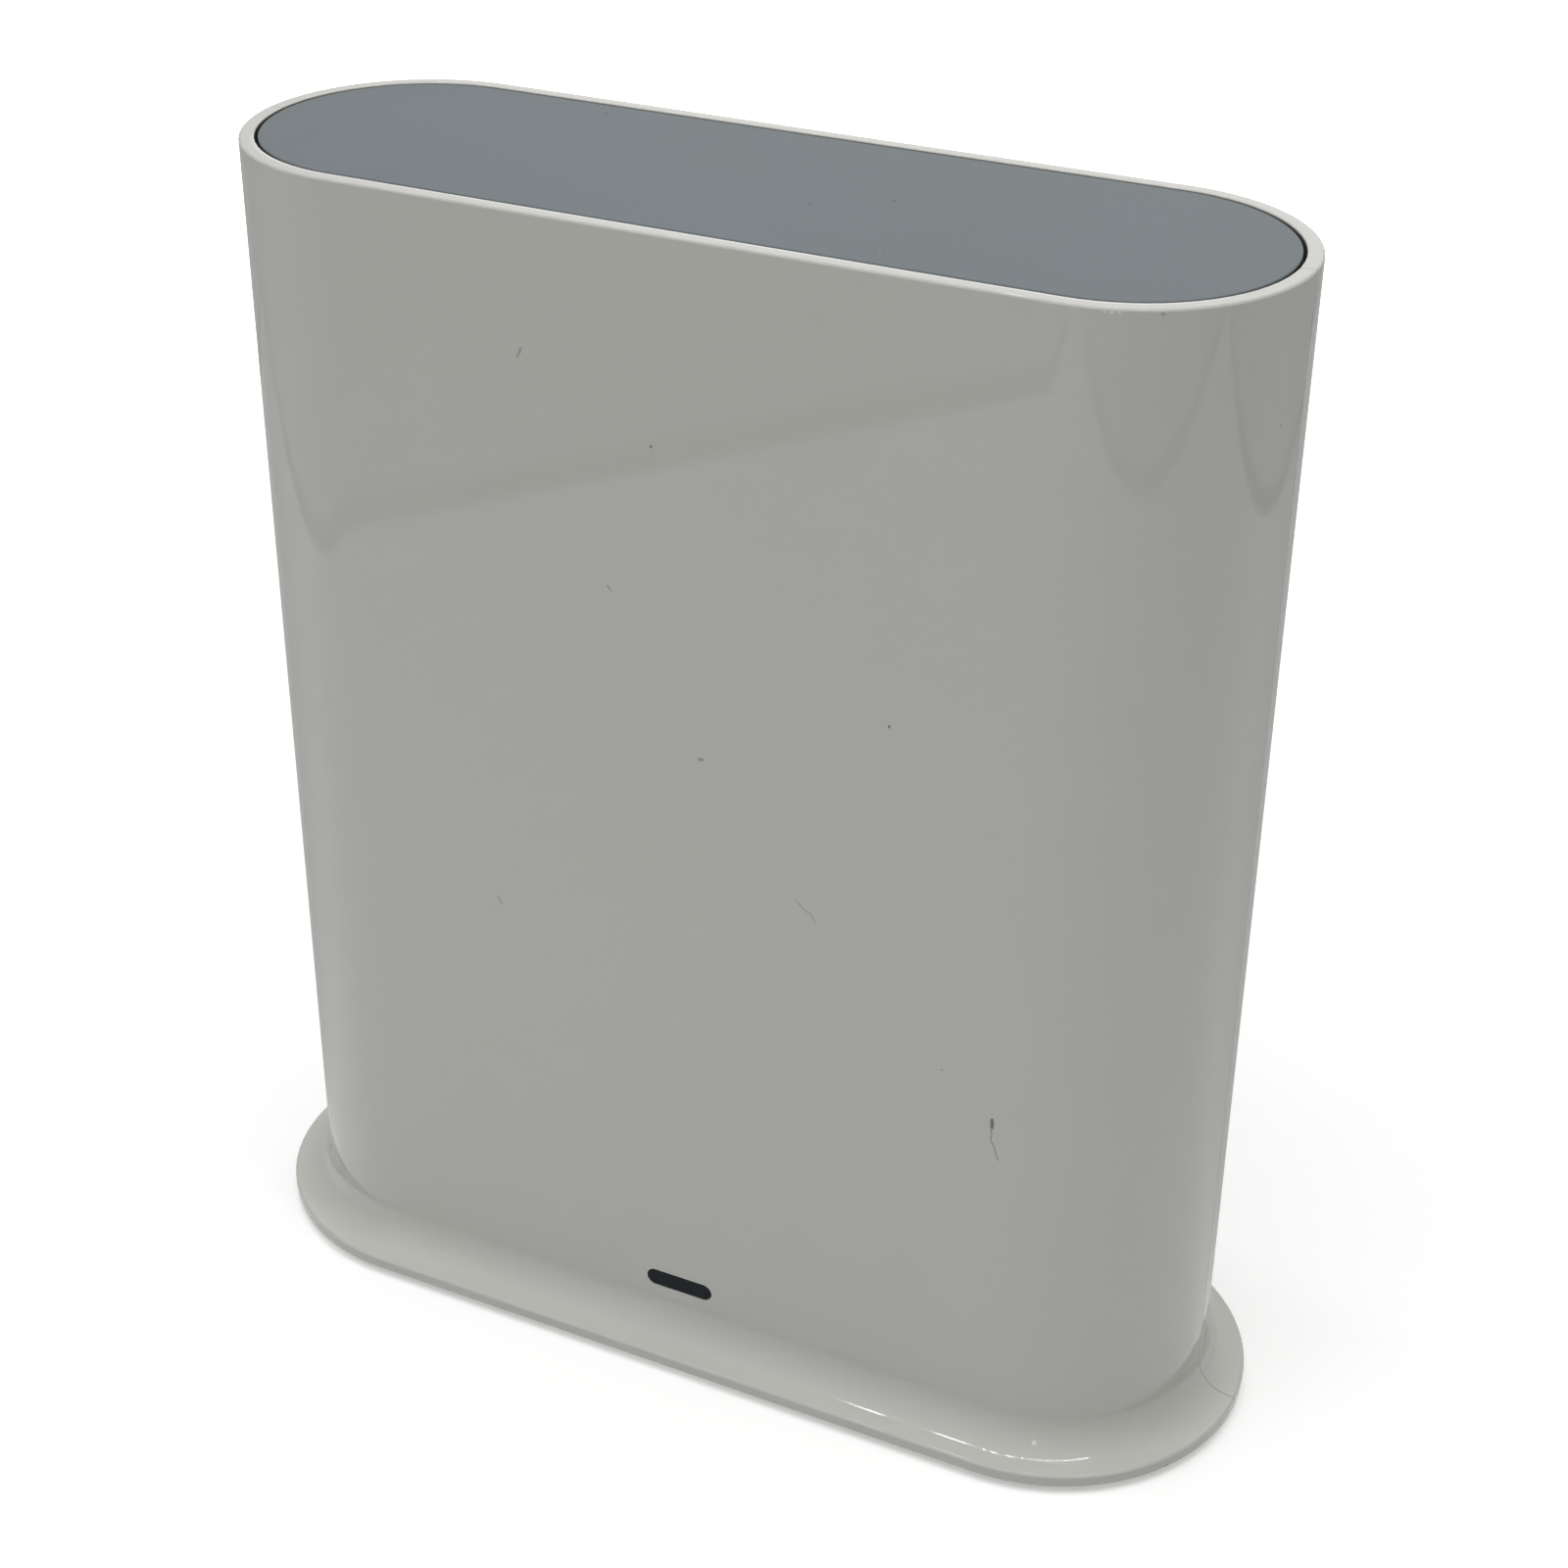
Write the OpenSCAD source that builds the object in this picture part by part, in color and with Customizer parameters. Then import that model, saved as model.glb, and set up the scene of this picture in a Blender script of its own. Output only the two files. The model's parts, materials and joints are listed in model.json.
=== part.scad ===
// Base station for wireless security cameras: a tall, flat upright body with round ends
// on a flared foot, an inset grey top cover, a status light low on the front and a
// recessed port panel on the back. Millimetres, +Z up, front towards -Y.
// The origin is the middle of the ground area, level with the underside of the rubber feet.

/* [Body] */
// Width of the upright body across its round ends
body_w = 127; // [122:1:150]
// Depth of the upright body, which is also the diameter of its ends
body_d = 40.6; // [40:0.2:48]
// Height from the underside of the foot flange to the top of the rim
body_h = 150; // [146:1:180]
// Thickness of the moulded wall
wall = 1.8; // [1.4:0.1:2.2]
// Width of the parting line between the two half shells
seam_gap = 0.08; // [0.04:0.02:0.3]
// Radius on the outer edge of the rim
rim_round = 0.35; // [0.2:0.05:0.6]
// Radius on the inner edge of the rim
rim_inner_round = 0.15; // [0.1:0.05:0.4]
// Thickness of the tongue that bridges the parting line inside
tongue_t = 1.2; // [0.8:0.1:1.6]
// How far the tongue reaches to either side of the parting line
tongue_d = 3; // [2:0.1:5]

/* [Foot flange] */
// How far the flange stands out from the body
flange_out = 5.2; // [4:0.1:8]
// Thickness of the flange at its edge
flange_edge = 1.8; // [1.4:0.1:2.6]
// Flat land between the sweep of the flange and its edge
flange_land = 0.5; // [0.4:0.05:1]
// Radius on the edge of the flange
flange_round = 0.4; // [0.2:0.05:0.6]

/* [Top cover] */
// Gap between the cover and the rim
cover_gap = 0.4; // [0.3:0.05:1]
// Depth of the cover's face below the rim
cover_drop = 0.05; // [0:0.05:1]
// Thickness of the cover
cover_t = 2; // [1.6:0.1:3]
// Radius on the cover's upper edge
cover_round = 0.2; // [0.1:0.05:0.8]
// Width of the ledge that carries the cover
ledge_w = 2.2; // [1.6:0.1:3]
// Thickness of that ledge
ledge_t = 1.6; // [1.2:0.1:2.4]
// Width of each snap clip under the cover
clip_w = 8; // [5:0.5:12]
// Thickness of each snap clip
clip_t = 1.4; // [1:0.1:2]
// Height of the hook at the end of a clip
clip_hook = 1.4; // [1:0.1:2]
// Distance of the clips from the middle of the cover
clip_x = 28; // [15:1:36]

/* [Base plate and feet] */
// Thickness of the base plate
base_t = 2.4; // [2.2:0.1:3.2]
// Gap between the base plate and the shells
base_gap = 0.2; // [0.1:0.05:0.5]
// Height of the flange above the ground
foot_stand = 1; // [0.6:0.1:2]
// Diameter of a rubber foot
foot_d = 9.5; // [7:0.5:11]
// Depth of the pocket that holds a foot
foot_sink = 0.7; // [0.4:0.1:1.2]
// Radius on the lower edge of a foot
foot_round = 0.5; // [0.2:0.1:0.6]
// How far the feet lie inboard of the base screws
foot_in = 11.2; // [9:0.2:13]
// Distance of the feet from the middle, along the depth
foot_y = 11; // [9:0.5:12]
// Number of cooling slots in the base plate
vent_count = 11; // [5:2:13]
// Width of a cooling slot
vent_w = 2; // [1.2:0.1:2.6]
// Length of a cooling slot
vent_l = 20; // [10:1:26]
// Distance between cooling slots
vent_pitch = 5; // [4:0.1:5]
// Diameter of the shell's screw posts
post_d = 6.4; // [5.6:0.2:7]
// Height of those posts
post_h = 12; // [9:0.5:20]
// Distance of those posts from the middle of the depth
post_y = 11; // [10:0.2:12]
// How far those posts lie beyond the centre of the round end
post_out = 7; // [6:0.2:8]

/* [Status light] */
// Width of the light window
light_w = 9.3; // [6:0.1:14]
// Height of the light window
light_h = 2.4; // [1.6:0.1:3]
// Height of the window's centre above the flange's underside
light_z = 9.6; // [9:0.1:12]
// Width of the lens's collar around the window
lens_collar = 1.2; // [0.8:0.1:2]
// Thickness of that collar
lens_collar_t = 0.8; // [0.6:0.1:1.2]

/* [Port recess] */
// Width of the recess for the ports
recess_w = 74; // [72:0.5:76]
// Height of the recess
recess_h = 22; // [20:0.5:26]
// Depth of the recess
recess_d = 6; // [5:0.1:7]
// Height of the recess's centre above the flange's underside
recess_z = 23; // [22:0.5:26]
// Corner radius of the recess
recess_r = 3.5; // [2:0.25:5]
// Thickness of the recess's side walls
recess_wall = 1.6; // [1.2:0.1:2]
// Thickness of the port panel
panel_t = 1.6; // [1.2:0.1:2]
// Width of the panel's ears that take its screws
panel_ear = 6; // [5.5:0.1:6.5]
// Distance of the panel's screws above and below its middle
panel_screw_z = 7; // [5:0.5:8]

/* [Ports] */
// Height of every port over the main board
port_h = 16.5; // [16:0.1:18]
// Place of the network jack across the recess
jack_x = 1; // [0:0.1:2]
// Width of the network jack
jack_w = 16; // [15.6:0.1:16.5]
// Height of the network jack
jack_tall = 13.6; // [13.2:0.1:14.4]
// Depth of the network jack's plug cavity
jack_deep = 12; // [11:0.1:13]
// Place of the storage port across the recess
storage_x = -16.5; // [-18:0.1:-15.5]
// Width of the storage port
storage_w = 13.1; // [12.8:0.1:13.6]
// Height of the storage port
storage_tall = 5.7; // [5.5:0.1:6.2]
// Depth of the storage port
storage_deep = 9; // [8:0.1:11]
// Place of the power jack across the recess
power_jack_x = 18; // [17:0.1:19]
// Diameter of the power jack's nose
nose_d = 8.4; // [8:0.1:9]
// Diameter of the power jack's bore
barrel_d = 6.3; // [6:0.1:6.6]
// Depth of the power jack's bore
barrel_deep = 9.5; // [9:0.1:11]
// Diameter of the power jack's centre pin
centre_pin_d = 2; // [1.6:0.05:2.5]

/* [Buttons] */
// Place of the power button across the recess
power_x = 29.5; // [28.5:0.1:31]
// Diameter of the power button
power_d = 8; // [7:0.1:9]
// How far the power button stands out of the panel
power_proud = 2; // [1.8:0.1:3]
// Travel of the power button
power_travel = 1.5; // [1:0.1:1.7]
// Place of the pairing button across the recess
sync_x = -30; // [-31:0.1:-28.5]
// Height of the pairing button over the middle of the recess
sync_up = 4; // [3.5:0.1:4.5]
// Diameter of the pairing button
sync_d = 7; // [6:0.1:7.6]
// How far the pairing button stands out of the panel
sync_proud = 1.2; // [1:0.1:2]
// Travel of the pairing button
sync_travel = 0.5; // [0.3:0.05:0.8]
// Distance of the reset hole below the middle of the recess
reset_down = 6; // [5.8:0.1:7]
// Diameter of the reset hole
reset_d = 2; // [1.5:0.1:2.4]
// Travel of the reset plunger
reset_travel = 0.3; // [0.2:0.05:0.5]

/* [Main board] */
// Width of the main board
board_w = 108; // [104:1:110]
// Thickness of the main board
board_t = 1.6; // [1:0.1:2]
// Height of the board's lower edge above the flange's underside
board_lift = 6; // [5:0.1:6.4]
// Diameter of the posts that carry the board
stand_d = 6; // [5.6:0.2:7]
// Distance of those posts from the middle
stand_x = 41; // [40:0.5:42]
// Size of the square processor
chip_w = 17; // [14:1:20]
// Thickness of the processor
chip_t = 1.6; // [1:0.1:2]
// Thickness of the thermal pad on it
pad_t = 1; // [0.5:0.1:1.5]
// Height of the processor's centre above the board's lower edge
chip_up = 64; // [62:1:66]
// Width of the heat sink
sink_w = 56; // [50:1:58]
// Height of the heat sink
sink_h = 52; // [46:1:54]
// Thickness of the heat sink's base
sink_t = 2.5; // [2:0.1:3]
// Length of the heat sink's fins
fin_l = 5.5; // [3:0.1:6]
// Thickness of a fin
fin_t = 1.2; // [0.8:0.1:1.6]
// Number of fins
fin_count = 9; // [5:1:11]

/* [Radio] */
// Width of a radio shield
shield_w = 20; // [16:0.5:21]
// Height of a radio shield
shield_h = 28; // [20:0.5:30]
// Depth of a radio shield
shield_d = 3; // [2:0.1:4]
// Thickness of the shield's sheet metal
shield_t = 0.3; // [0.2:0.05:0.5]
// Distance of the shields from the middle of the board
shield_x = 41; // [40:0.5:41]
// Width of an aerial board
aerial_w = 26; // [20:0.5:27]
// Height of an aerial board
aerial_h = 12; // [9:0.5:13]
// Thickness of an aerial board
aerial_t = 0.8; // [0.6:0.1:1.2]
// Distance of the aerials from the middle
aerial_x = 21; // [18:0.5:21.5]
// Width of the aerial bracket
bracket_w = 100; // [94:1:104]
// Height of the aerial bracket
bracket_h = 15; // [14:0.5:17]
// Thickness of the aerial bracket
bracket_t = 2; // [1.6:0.1:2.4]
// Gap between the top cover and the bracket below it
bracket_drop = 10.5; // [8:0.5:14]
// Gap between the board and the bracket above it
bracket_gap = 4; // [2:0.5:5]
// Diameter of the aerial cables
coax_d = 1.2; // [1:0.1:1.4]

/* [Fasteners and fits] */
// Diameter of the large screws
screw_d = 2.6; // [2.4:0.1:2.8]
// Diameter of their heads
screw_head_d = 5.2; // [4.8:0.1:5.4]
// Height of their heads
screw_head_h = 1.4; // [1.2:0.1:1.5]
// Diameter of the small screws
small_screw_d = 1.8; // [1.6:0.1:2]
// Diameter of the small screws' heads
small_head_d = 3.6; // [3.2:0.1:4]
// Height of the small screws' heads
small_head_h = 1.1; // [0.9:0.1:1.2]
// Gap around a screw in its hole
screw_gap = 0.06; // [0.04:0.01:0.1]
// Gap around a part that slides
slide_gap = 0.15; // [0.1:0.01:0.25]
// Gap around a fixed part in its opening
fit_gap = 0.2; // [0.1:0.01:0.3]

/* [Hidden] */
$fn = 64;
shell_white = [0.90, 0.90, 0.88];
cover_grey = [0.50, 0.53, 0.54];
board_green = [0.10, 0.32, 0.20];
steel = [0.75, 0.76, 0.78];
gold = [0.83, 0.66, 0.28];
black_plastic = [0.10, 0.10, 0.11];

// How far a post or wall runs into the shell that it grows from
root = 0.5;
// How far a cutter runs past the face that it opens
past = 1;

// Plan of the body
out_r = body_d / 2;
in_r = out_r - wall;
half = (body_w - body_d) / 2;
fillet_r = flange_out - flange_land;

// Heights
z_flange = foot_stand;
z_rim = foot_stand + body_h;
z_cover_top = z_rim - cover_drop;
z_cover_under = z_cover_top - cover_t;
z_ledge_under = z_cover_under - ledge_t;
z_base_top = foot_stand + base_t;
z_light = foot_stand + light_z;
z_recess = foot_stand + recess_z;
z_bracket = z_cover_under - bracket_drop - bracket_h;
z_bracket_mid = z_bracket + bracket_h / 2;
z_board = foot_stand + board_lift;
z_board_top = z_bracket - bracket_gap;
board_h = z_board_top - z_board;
z_chip = z_board + chip_up;

// Depths, from the front at -Y to the back at +Y
y_panel_out = out_r - recess_d;
y_panel_in = y_panel_out - panel_t;
y_board_back = y_panel_out - port_h;
y_board_front = y_board_back - board_t;
y_chip_face = y_board_front - chip_t;
y_sink_back = y_chip_face - pad_t;
y_sink_front = y_sink_back - sink_t;
y_bracket_front = y_board_back - bracket_t;

// Screw places, each an [x, z] or [x, y] pair
base_screw_x = half + post_out;
stand_clear = 2;
stand_low_z = z_recess + recess_h / 2 + recess_wall + stand_d / 2 + stand_clear;
stand_edge = 3;
stand_high_z = z_board_top - stand_d / 2 - stand_edge;
board_screw_places = [for (x = [-stand_x, stand_x], z = [stand_low_z, stand_high_z]) [x, z]];
bracket_screw_places = [for (x = [-stand_x, stand_x]) [x, z_bracket_mid]];
panel_screw_x = recess_w / 2 + recess_wall + panel_ear / 2;
panel_screw_places = [for (x = [-1, 1], z = [-1, 1])
    [x * panel_screw_x, z_recess + z * panel_screw_z]];
base_screw_places = [for (x = [-base_screw_x, base_screw_x], y = [-post_y, post_y]) [x, y]];
foot_x = base_screw_x - foot_in;
foot_places = [for (x = [-foot_x, foot_x], y = [-foot_y, foot_y]) [x, y]];
sink_leg_d = 5.6;
sink_leg_inset = 5;
sink_screw_places = [for (s = [-1, 1])
    [s * (sink_w / 2 - sink_leg_inset), z_chip + s * (sink_h / 2 - sink_leg_inset)]];

// Screw lengths below the head
base_screw_l = 8;
board_screw_l = 7;
panel_screw_l = 4.6;
sink_screw_bite = 2;
sink_screw_l = board_t + sink_screw_bite;
// Depth of a pilot hole beyond the end of its screw
pilot_spare = 0.6;
// Room around and below a sunk screw head
head_gap = 0.3;
head_below = 0.1;
head_sink = screw_head_h + head_below;
// Cross recess and shoulder of a screw head, as shares of the head
cross_width_share = 0.14;
cross_length_share = 0.62;
cross_floor_share = 0.45;
shoulder_share = 0.4;
// Depth of the pilot hole in a base post
base_pilot_l = base_screw_l - (base_t - head_sink) + pilot_spare;
// Rib that ties a base post to the wall
rib_t = 1.6;
// Gap between the tongues and the posts below and ledge above them
tongue_end = 2;

// Parts of the buttons
button_flange = 0.8;
button_flange_t = 0.9;
button_round = 0.6;
tact_w = 6.2;
tact_h = 3.6;
tact_plunger_d = 3.4;
tact_plunger_out = 1;
tact_plunger_in = 1.2;
latch_w = 8;
latch_h = 7;
latch_plunger_w = 3;
latch_plunger_out = 2.4;
latch_plunger_in = 2.5;
stem_d = 4;
reset_plunger_reach = 3;
well_spare = 0.3;

// Status light parts
lens_gap = 0.05;
guide_gap = 0.1;
guide_inset = 0.5;
guide_w = light_w - 2 * guide_inset;
guide_h = light_h - 2 * guide_gap;
guide_collar_in = 1;
guide_collar_l = 3;
led_w = 3.5;
led_h = 1.8;
led_t = 1.2;
led_air = 0.3;
cradle_t = 1.2;
cradle_l = 9;

// Network jack parts
can_t = 0.35;
can_gap = 0.08;
plug_w = 11.9;
plug_h = 6.9;
latch_slot_w = 6.2;
latch_slot_h = 2.4;
plug_drop = 0.6;
contact_w = 0.35;
contact_t = 0.4;
contact_pitch = 1.02;
contact_count = 8;
contact_root_in = 2;
contact_tip_clear = 3;
contact_dip = 2.2;
jack_lamp_w = 2.6;
jack_lamp_h = 1.6;
jack_lamp_t = 0.7;
jack_lamp_x = 5.6;

// Storage port parts
storage_t = 0.35;
storage_tongue_w = 11;
storage_tongue_h = 1.9;
storage_tongue_up = 0.95;
storage_tongue_short = 0.6;
storage_contact_w = 1;
storage_contact_t = 0.15;
storage_contact_l = 6.5;
storage_contact_places = [-3.5, -1, 1, 3.5];

// Power jack parts
power_block_w = 10;
power_block_h = 12;
centre_pin_short = 1;
centre_pin_round = 0.4;

// Board outline and the parts on it
board_corner_r = 2.5;
bracket_corner_r = 3;
pad_inset = 1;
flash_w = 8;
flash_h = 6;
flash_t = 1;
memory_w = 9;
memory_h = 13;
memory_t = 1;
memory_gap = 2;
coil_w = 7;
coil_t = 4;
can_d = 6.3;
can_h = 7.7;
magnetics_w = 16;
magnetics_h = 11;
magnetics_t = 6;
parts_up = 44;
coil_places = [-13, -32];
capacitor_places = [17, 26];
radio_w = 9;
radio_t = 0.9;
shield_down = 36;
z_shield = z_board_top - shield_down;

// Aerial sockets, plugs and cables
socket_w = 2.6;
socket_t = 0.9;
coax_plug_d = 2.8;
coax_plug_t = 1.1;
coax_crimp_w = 1.6;
coax_crimp_l = 2.2;
coax_x = 30;
coax_down = 9;
feed_w = 1.6;
feed_h = 1.4;
feed_t = 1.4;
feed_up = 1.5;
coax_sides = 8;
coax_rings = 14;
y_coax = y_board_front - socket_t - coax_plug_t / 2;
z_coax = z_board_top - coax_down;
z_feed = z_bracket_mid - aerial_h / 2 + feed_up;
y_feed = y_bracket_front - aerial_t - feed_t / 2;

// Shared shapes

// A rectangle with true round corners, centred
module rounded_rect(w, h, r) {
    difference() {
        square([w, h], center = true);
        for (sx = [-1, 1], sy = [-1, 1])
            translate([sx * (w / 2 - r), sy * (h / 2 - r)])
                scale([sx, sy]) corner_waste(r);
    }
}

// What a round corner takes off a square one, in the first quarter of the plane
module corner_waste(r) {
    difference() {
        square(r + past);
        circle(r);
    }
}

// A slot with round ends, centred, lying along the first axis
module slot(w, h) {
    square([w - h, h], center = true);
    for (s = [-1, 1])
        translate([s * (w - h) / 2, 0])
            circle(d = h);
}

// Stands a drawing in X and Z up and gives it the depth from y0 to y1
module slab(y0, y1) {
    translate([0, y1, 0])
        rotate([90, 0, 0])
            linear_extrude(y1 - y0)
                children();
}

// A block centred at x and z, from y0 to y1
module block(x, z, w, h, y0, y1) {
    translate([x - w / 2, y0, z - h / 2])
        cube([w, y1 - y0, h]);
}

// A round rod along Y at x and z
module rod(x, z, d, y0, y1) {
    translate([x, y1, z])
        rotate([90, 0, 0])
            cylinder(d = d, h = y1 - y0);
}

// Carries a profile of radius and height round the front half of the body's plan
module front_sweep() {
    translate([half, 0, 0])
        rotate([0, 0, -90])
            rotate_extrude(angle = 90)
                children();
    translate([-half, 0, 0])
        rotate([0, 0, 180])
            rotate_extrude(angle = 90)
                children();
    mirror([0, 1, 0])
        translate([-half, 0, 0])
            rotate([90, 0, 90])
                linear_extrude(2 * half)
                    children();
}

// Carries a profile of radius and height round the whole plan
module full_sweep() {
    for (m = [0, 1])
        mirror([0, m, 0])
            front_sweep()
                children();
}

// An upright prism of the body's plan, out to a radius
module plan_prism(r, z0, z1) {
    full_sweep()
        translate([0, z0])
            square([r, z1 - z0]);
}

// A pan-head screw pointing down, with its head's underside at the origin
module pan_screw(d, head_d, head_h, l) {
    cross_w = head_d * cross_width_share;
    cross_l = head_d * cross_length_share;
    difference() {
        union() {
            rotate_extrude()
                screw_head_profile(head_d / 2, head_h);
            translate([0, 0, -l])
                cylinder(d = d, h = l + root);
        }
        for (turn = [0, 90])
            rotate([0, 0, turn])
                translate([-cross_l / 2, -cross_w / 2, head_h * cross_floor_share])
                    cube([cross_l, cross_w, head_h]);
    }
}

// Half section of a pan head with a round shoulder
module screw_head_profile(r, h) {
    shoulder = h * shoulder_share;
    difference() {
        square([r, h]);
        translate([r - shoulder, h - shoulder])
            corner_waste(shoulder);
    }
}

// Half section of a round button from its flange's seat outwards
module button_profile(r, l) {
    difference() {
        square([r, l]);
        translate([r - button_round, l - button_round])
            corner_waste(button_round);
    }
}

// Turns an upright part so that it points out of the back, with its base at y
module facing_back(x, y, z) {
    translate([x, y, z])
        rotate([-90, 0, 0])
            children();
}

// Turns an upright part so that it points out of the front, with its base at y
module facing_front(x, y, z) {
    translate([x, y, z])
        rotate([90, 0, 0])
            children();
}

// Shells

// Section of the wall with its rim, cover ledge and flared foot, as radius and height
module shell_profile() {
    difference() {
        translate([in_r, z_flange])
            square([wall, body_h]);
        translate([out_r - rim_round, z_rim - rim_round])
            corner_waste(rim_round);
        translate([in_r + rim_inner_round, z_rim - rim_inner_round])
            scale([-1, 1]) corner_waste(rim_inner_round);
    }
    translate([in_r - ledge_w, z_ledge_under])
        square([ledge_w + root, ledge_t]);
    difference() {
        translate([in_r, z_flange])
            square([wall + flange_out, flange_edge]);
        translate([out_r + flange_out - flange_round, z_flange + flange_edge - flange_round])
            corner_waste(flange_round);
        translate([out_r + flange_out - flange_round, z_flange + flange_round])
            scale([1, -1]) corner_waste(flange_round);
    }
    translate([out_r - root, z_flange + flange_edge - root])
        difference() {
            square(fillet_r + root);
            translate([fillet_r + root, fillet_r + root])
                circle(fillet_r);
        }
}

// One half of the body's skin, on the front side, with the posts for the base screws
module half_shell() {
    difference() {
        union() {
            front_sweep()
                shell_profile();
            for (x = [-base_screw_x, base_screw_x])
                base_post(x);
        }
        translate([-body_w, -seam_gap / 2, -past])
            cube([2 * body_w, body_d, z_rim + 2 * past]);
        for (x = [-base_screw_x, base_screw_x])
            translate([x, -post_y, z_base_top - past])
                cylinder(d = screw_d + 2 * screw_gap, h = base_pilot_l + past);
    }
}

// A screw post on the front side, tied to the wall by a rib
module base_post(x) {
    intersection() {
        union() {
            translate([x, -post_y, z_base_top])
                cylinder(d = post_d, h = post_h);
            translate([x - rib_t / 2, -out_r, z_base_top])
                cube([rib_t, out_r - post_y, post_h]);
        }
        plan_prism(in_r + root, z_base_top, z_base_top + post_h);
    }
}

// The tongues at the two ends that reach across the parting line
module seam_tongues() {
    tongue_r = in_r - slide_gap;
    reach = asin(tongue_d / tongue_r);
    z0 = z_base_top + post_h + tongue_end;
    z1 = z_ledge_under - tongue_end;
    for (m = [0, 1])
        mirror([m, 0, 0])
            translate([half, 0, 0]) {
                rotate([0, 0, -reach])
                    rotate_extrude(angle = 2 * reach)
                        translate([tongue_r - tongue_t, z0])
                            square([tongue_t, z1 - z0]);
                rotate([0, 0, -reach])
                    rotate_extrude(angle = reach / 2)
                        translate([tongue_r - tongue_t, z0])
                            square([tongue_t + slide_gap + root, z1 - z0]);
            }
}

module front_shell() {
    cradle_w = light_w + 2 * lens_collar;
    cradle_z = light_h / 2 + lens_collar + guide_gap;
    color(shell_white)
        difference() {
            union() {
                half_shell();
                seam_tongues();
                for (s = [-1, 1])
                    block(0, z_light + s * (cradle_z + cradle_t / 2), cradle_w, cradle_t,
                        -in_r - root, -in_r + cradle_l);
            }
            slab(-out_r - past, -in_r + past)
                translate([0, z_light])
                    slot(light_w, light_h);
        }
}

module rear_shell() {
    color(shell_white)
        difference() {
            union() {
                mirror([0, 1, 0])
                    half_shell();
                slab(y_panel_out, in_r + root)
                    translate([0, z_recess])
                        rounded_rect(recess_w + 2 * recess_wall, recess_h + 2 * recess_wall,
                            recess_r + recess_wall);
                for (p = panel_screw_places)
                    rod(p[0], p[1], panel_ear - fit_gap, y_panel_out, in_r + root);
                for (p = concat(board_screw_places, bracket_screw_places))
                    rod(p[0], p[1], stand_d, y_board_back, in_r + root);
            }
            slab(y_panel_out - past, out_r + past)
                translate([0, z_recess])
                    rounded_rect(recess_w, recess_h, recess_r);
            for (p = panel_screw_places)
                rod(p[0], p[1], small_screw_d + 2 * screw_gap, y_panel_out - past,
                    y_panel_out - panel_t + panel_screw_l + pilot_spare);
            for (p = board_screw_places)
                rod(p[0], p[1], screw_d + 2 * screw_gap, y_board_back - past,
                    y_board_front + board_screw_l + pilot_spare);
            for (p = bracket_screw_places)
                rod(p[0], p[1], screw_d + 2 * screw_gap, y_board_back - past,
                    y_bracket_front + board_screw_l + pilot_spare);
        }
}

// Top cover and base

module top_cover() {
    cover_r = in_r - cover_gap;
    clip_y = in_r - ledge_w - fit_gap;
    hook_out = ledge_w / 2;
    color(cover_grey) {
        full_sweep()
            difference() {
                translate([0, z_cover_under])
                    square([cover_r, cover_t]);
                translate([cover_r - cover_round, z_cover_top - cover_round])
                    corner_waste(cover_round);
            }
        for (x = [-clip_x, clip_x], s = [-1, 1])
            scale([1, s, 1])
                cover_clip(x, clip_y, hook_out);
    }
}

// A snap clip on the back side, with a wedge that catches under the ledge
module cover_clip(x, y, hook_out) {
    z_hook = z_ledge_under - fit_gap;
    translate([x - clip_w / 2, 0, 0])
        rotate([90, 0, 90])
            linear_extrude(clip_w)
                polygon([
                    [y - clip_t, z_cover_under + root],
                    [y, z_cover_under + root],
                    [y, z_hook],
                    [y + hook_out, z_hook],
                    [y, z_hook - clip_hook],
                    [y - clip_t, z_hook - clip_hook]
                ]);
}

module base_plate() {
    color(shell_white)
        difference() {
            plan_prism(in_r - base_gap, z_flange, z_base_top);
            for (i = [0:vent_count - 1])
                translate([(i - (vent_count - 1) / 2) * vent_pitch, 0, z_flange - past])
                    linear_extrude(base_t + 2 * past)
                        rotate(90)
                            slot(vent_l, vent_w);
            for (p = foot_places)
                translate([p[0], p[1], z_flange - past])
                    cylinder(d = foot_d + 2 * fit_gap, h = foot_sink + past);
            for (p = base_screw_places)
                translate([p[0], p[1], z_flange - past]) {
                    cylinder(d = screw_d + 2 * fit_gap, h = base_t + 2 * past);
                    cylinder(d = screw_head_d + 2 * head_gap, h = head_sink + past);
                }
        }
}

module rubber_feet() {
    foot_l = foot_stand + foot_sink;
    color(black_plastic)
        for (p = foot_places)
            translate([p[0], p[1], 0])
                rotate_extrude()
                    difference() {
                        square([foot_d / 2, foot_l]);
                        translate([foot_d / 2 - foot_round, foot_round])
                            scale([1, -1]) corner_waste(foot_round);
                    }
}

module base_screws() {
    color(steel)
        for (p = base_screw_places)
            translate([p[0], p[1], z_flange + head_sink])
                rotate([180, 0, 0])
                    pan_screw(screw_d, screw_head_d, screw_head_h, base_screw_l);
}

// Status light

module status_lens() {
    color(black_plastic) {
        slab(-out_r, -in_r + lens_collar_t)
            translate([0, z_light])
                slot(light_w - 2 * lens_gap, light_h - 2 * lens_gap);
        slab(-in_r, -in_r + lens_collar_t)
            translate([0, z_light])
                square([light_w + 2 * lens_collar, light_h + 2 * lens_collar], center = true);
    }
}

module light_guide() {
    collar_h = light_h + 2 * lens_collar;
    y_start = -in_r + lens_collar_t;
    y_collar = y_start + guide_collar_in;
    y_end = y_board_front - led_t - led_air;
    color("aliceblue") {
        block(0, z_light, guide_w, guide_h, y_start, y_end);
        block(0, z_light, guide_w, collar_h, y_collar, y_collar + guide_collar_l);
    }
}

module status_led() {
    color("white")
        block(0, z_light, led_w, led_h, y_board_front - led_t, y_board_front);
}

// Port panel

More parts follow.
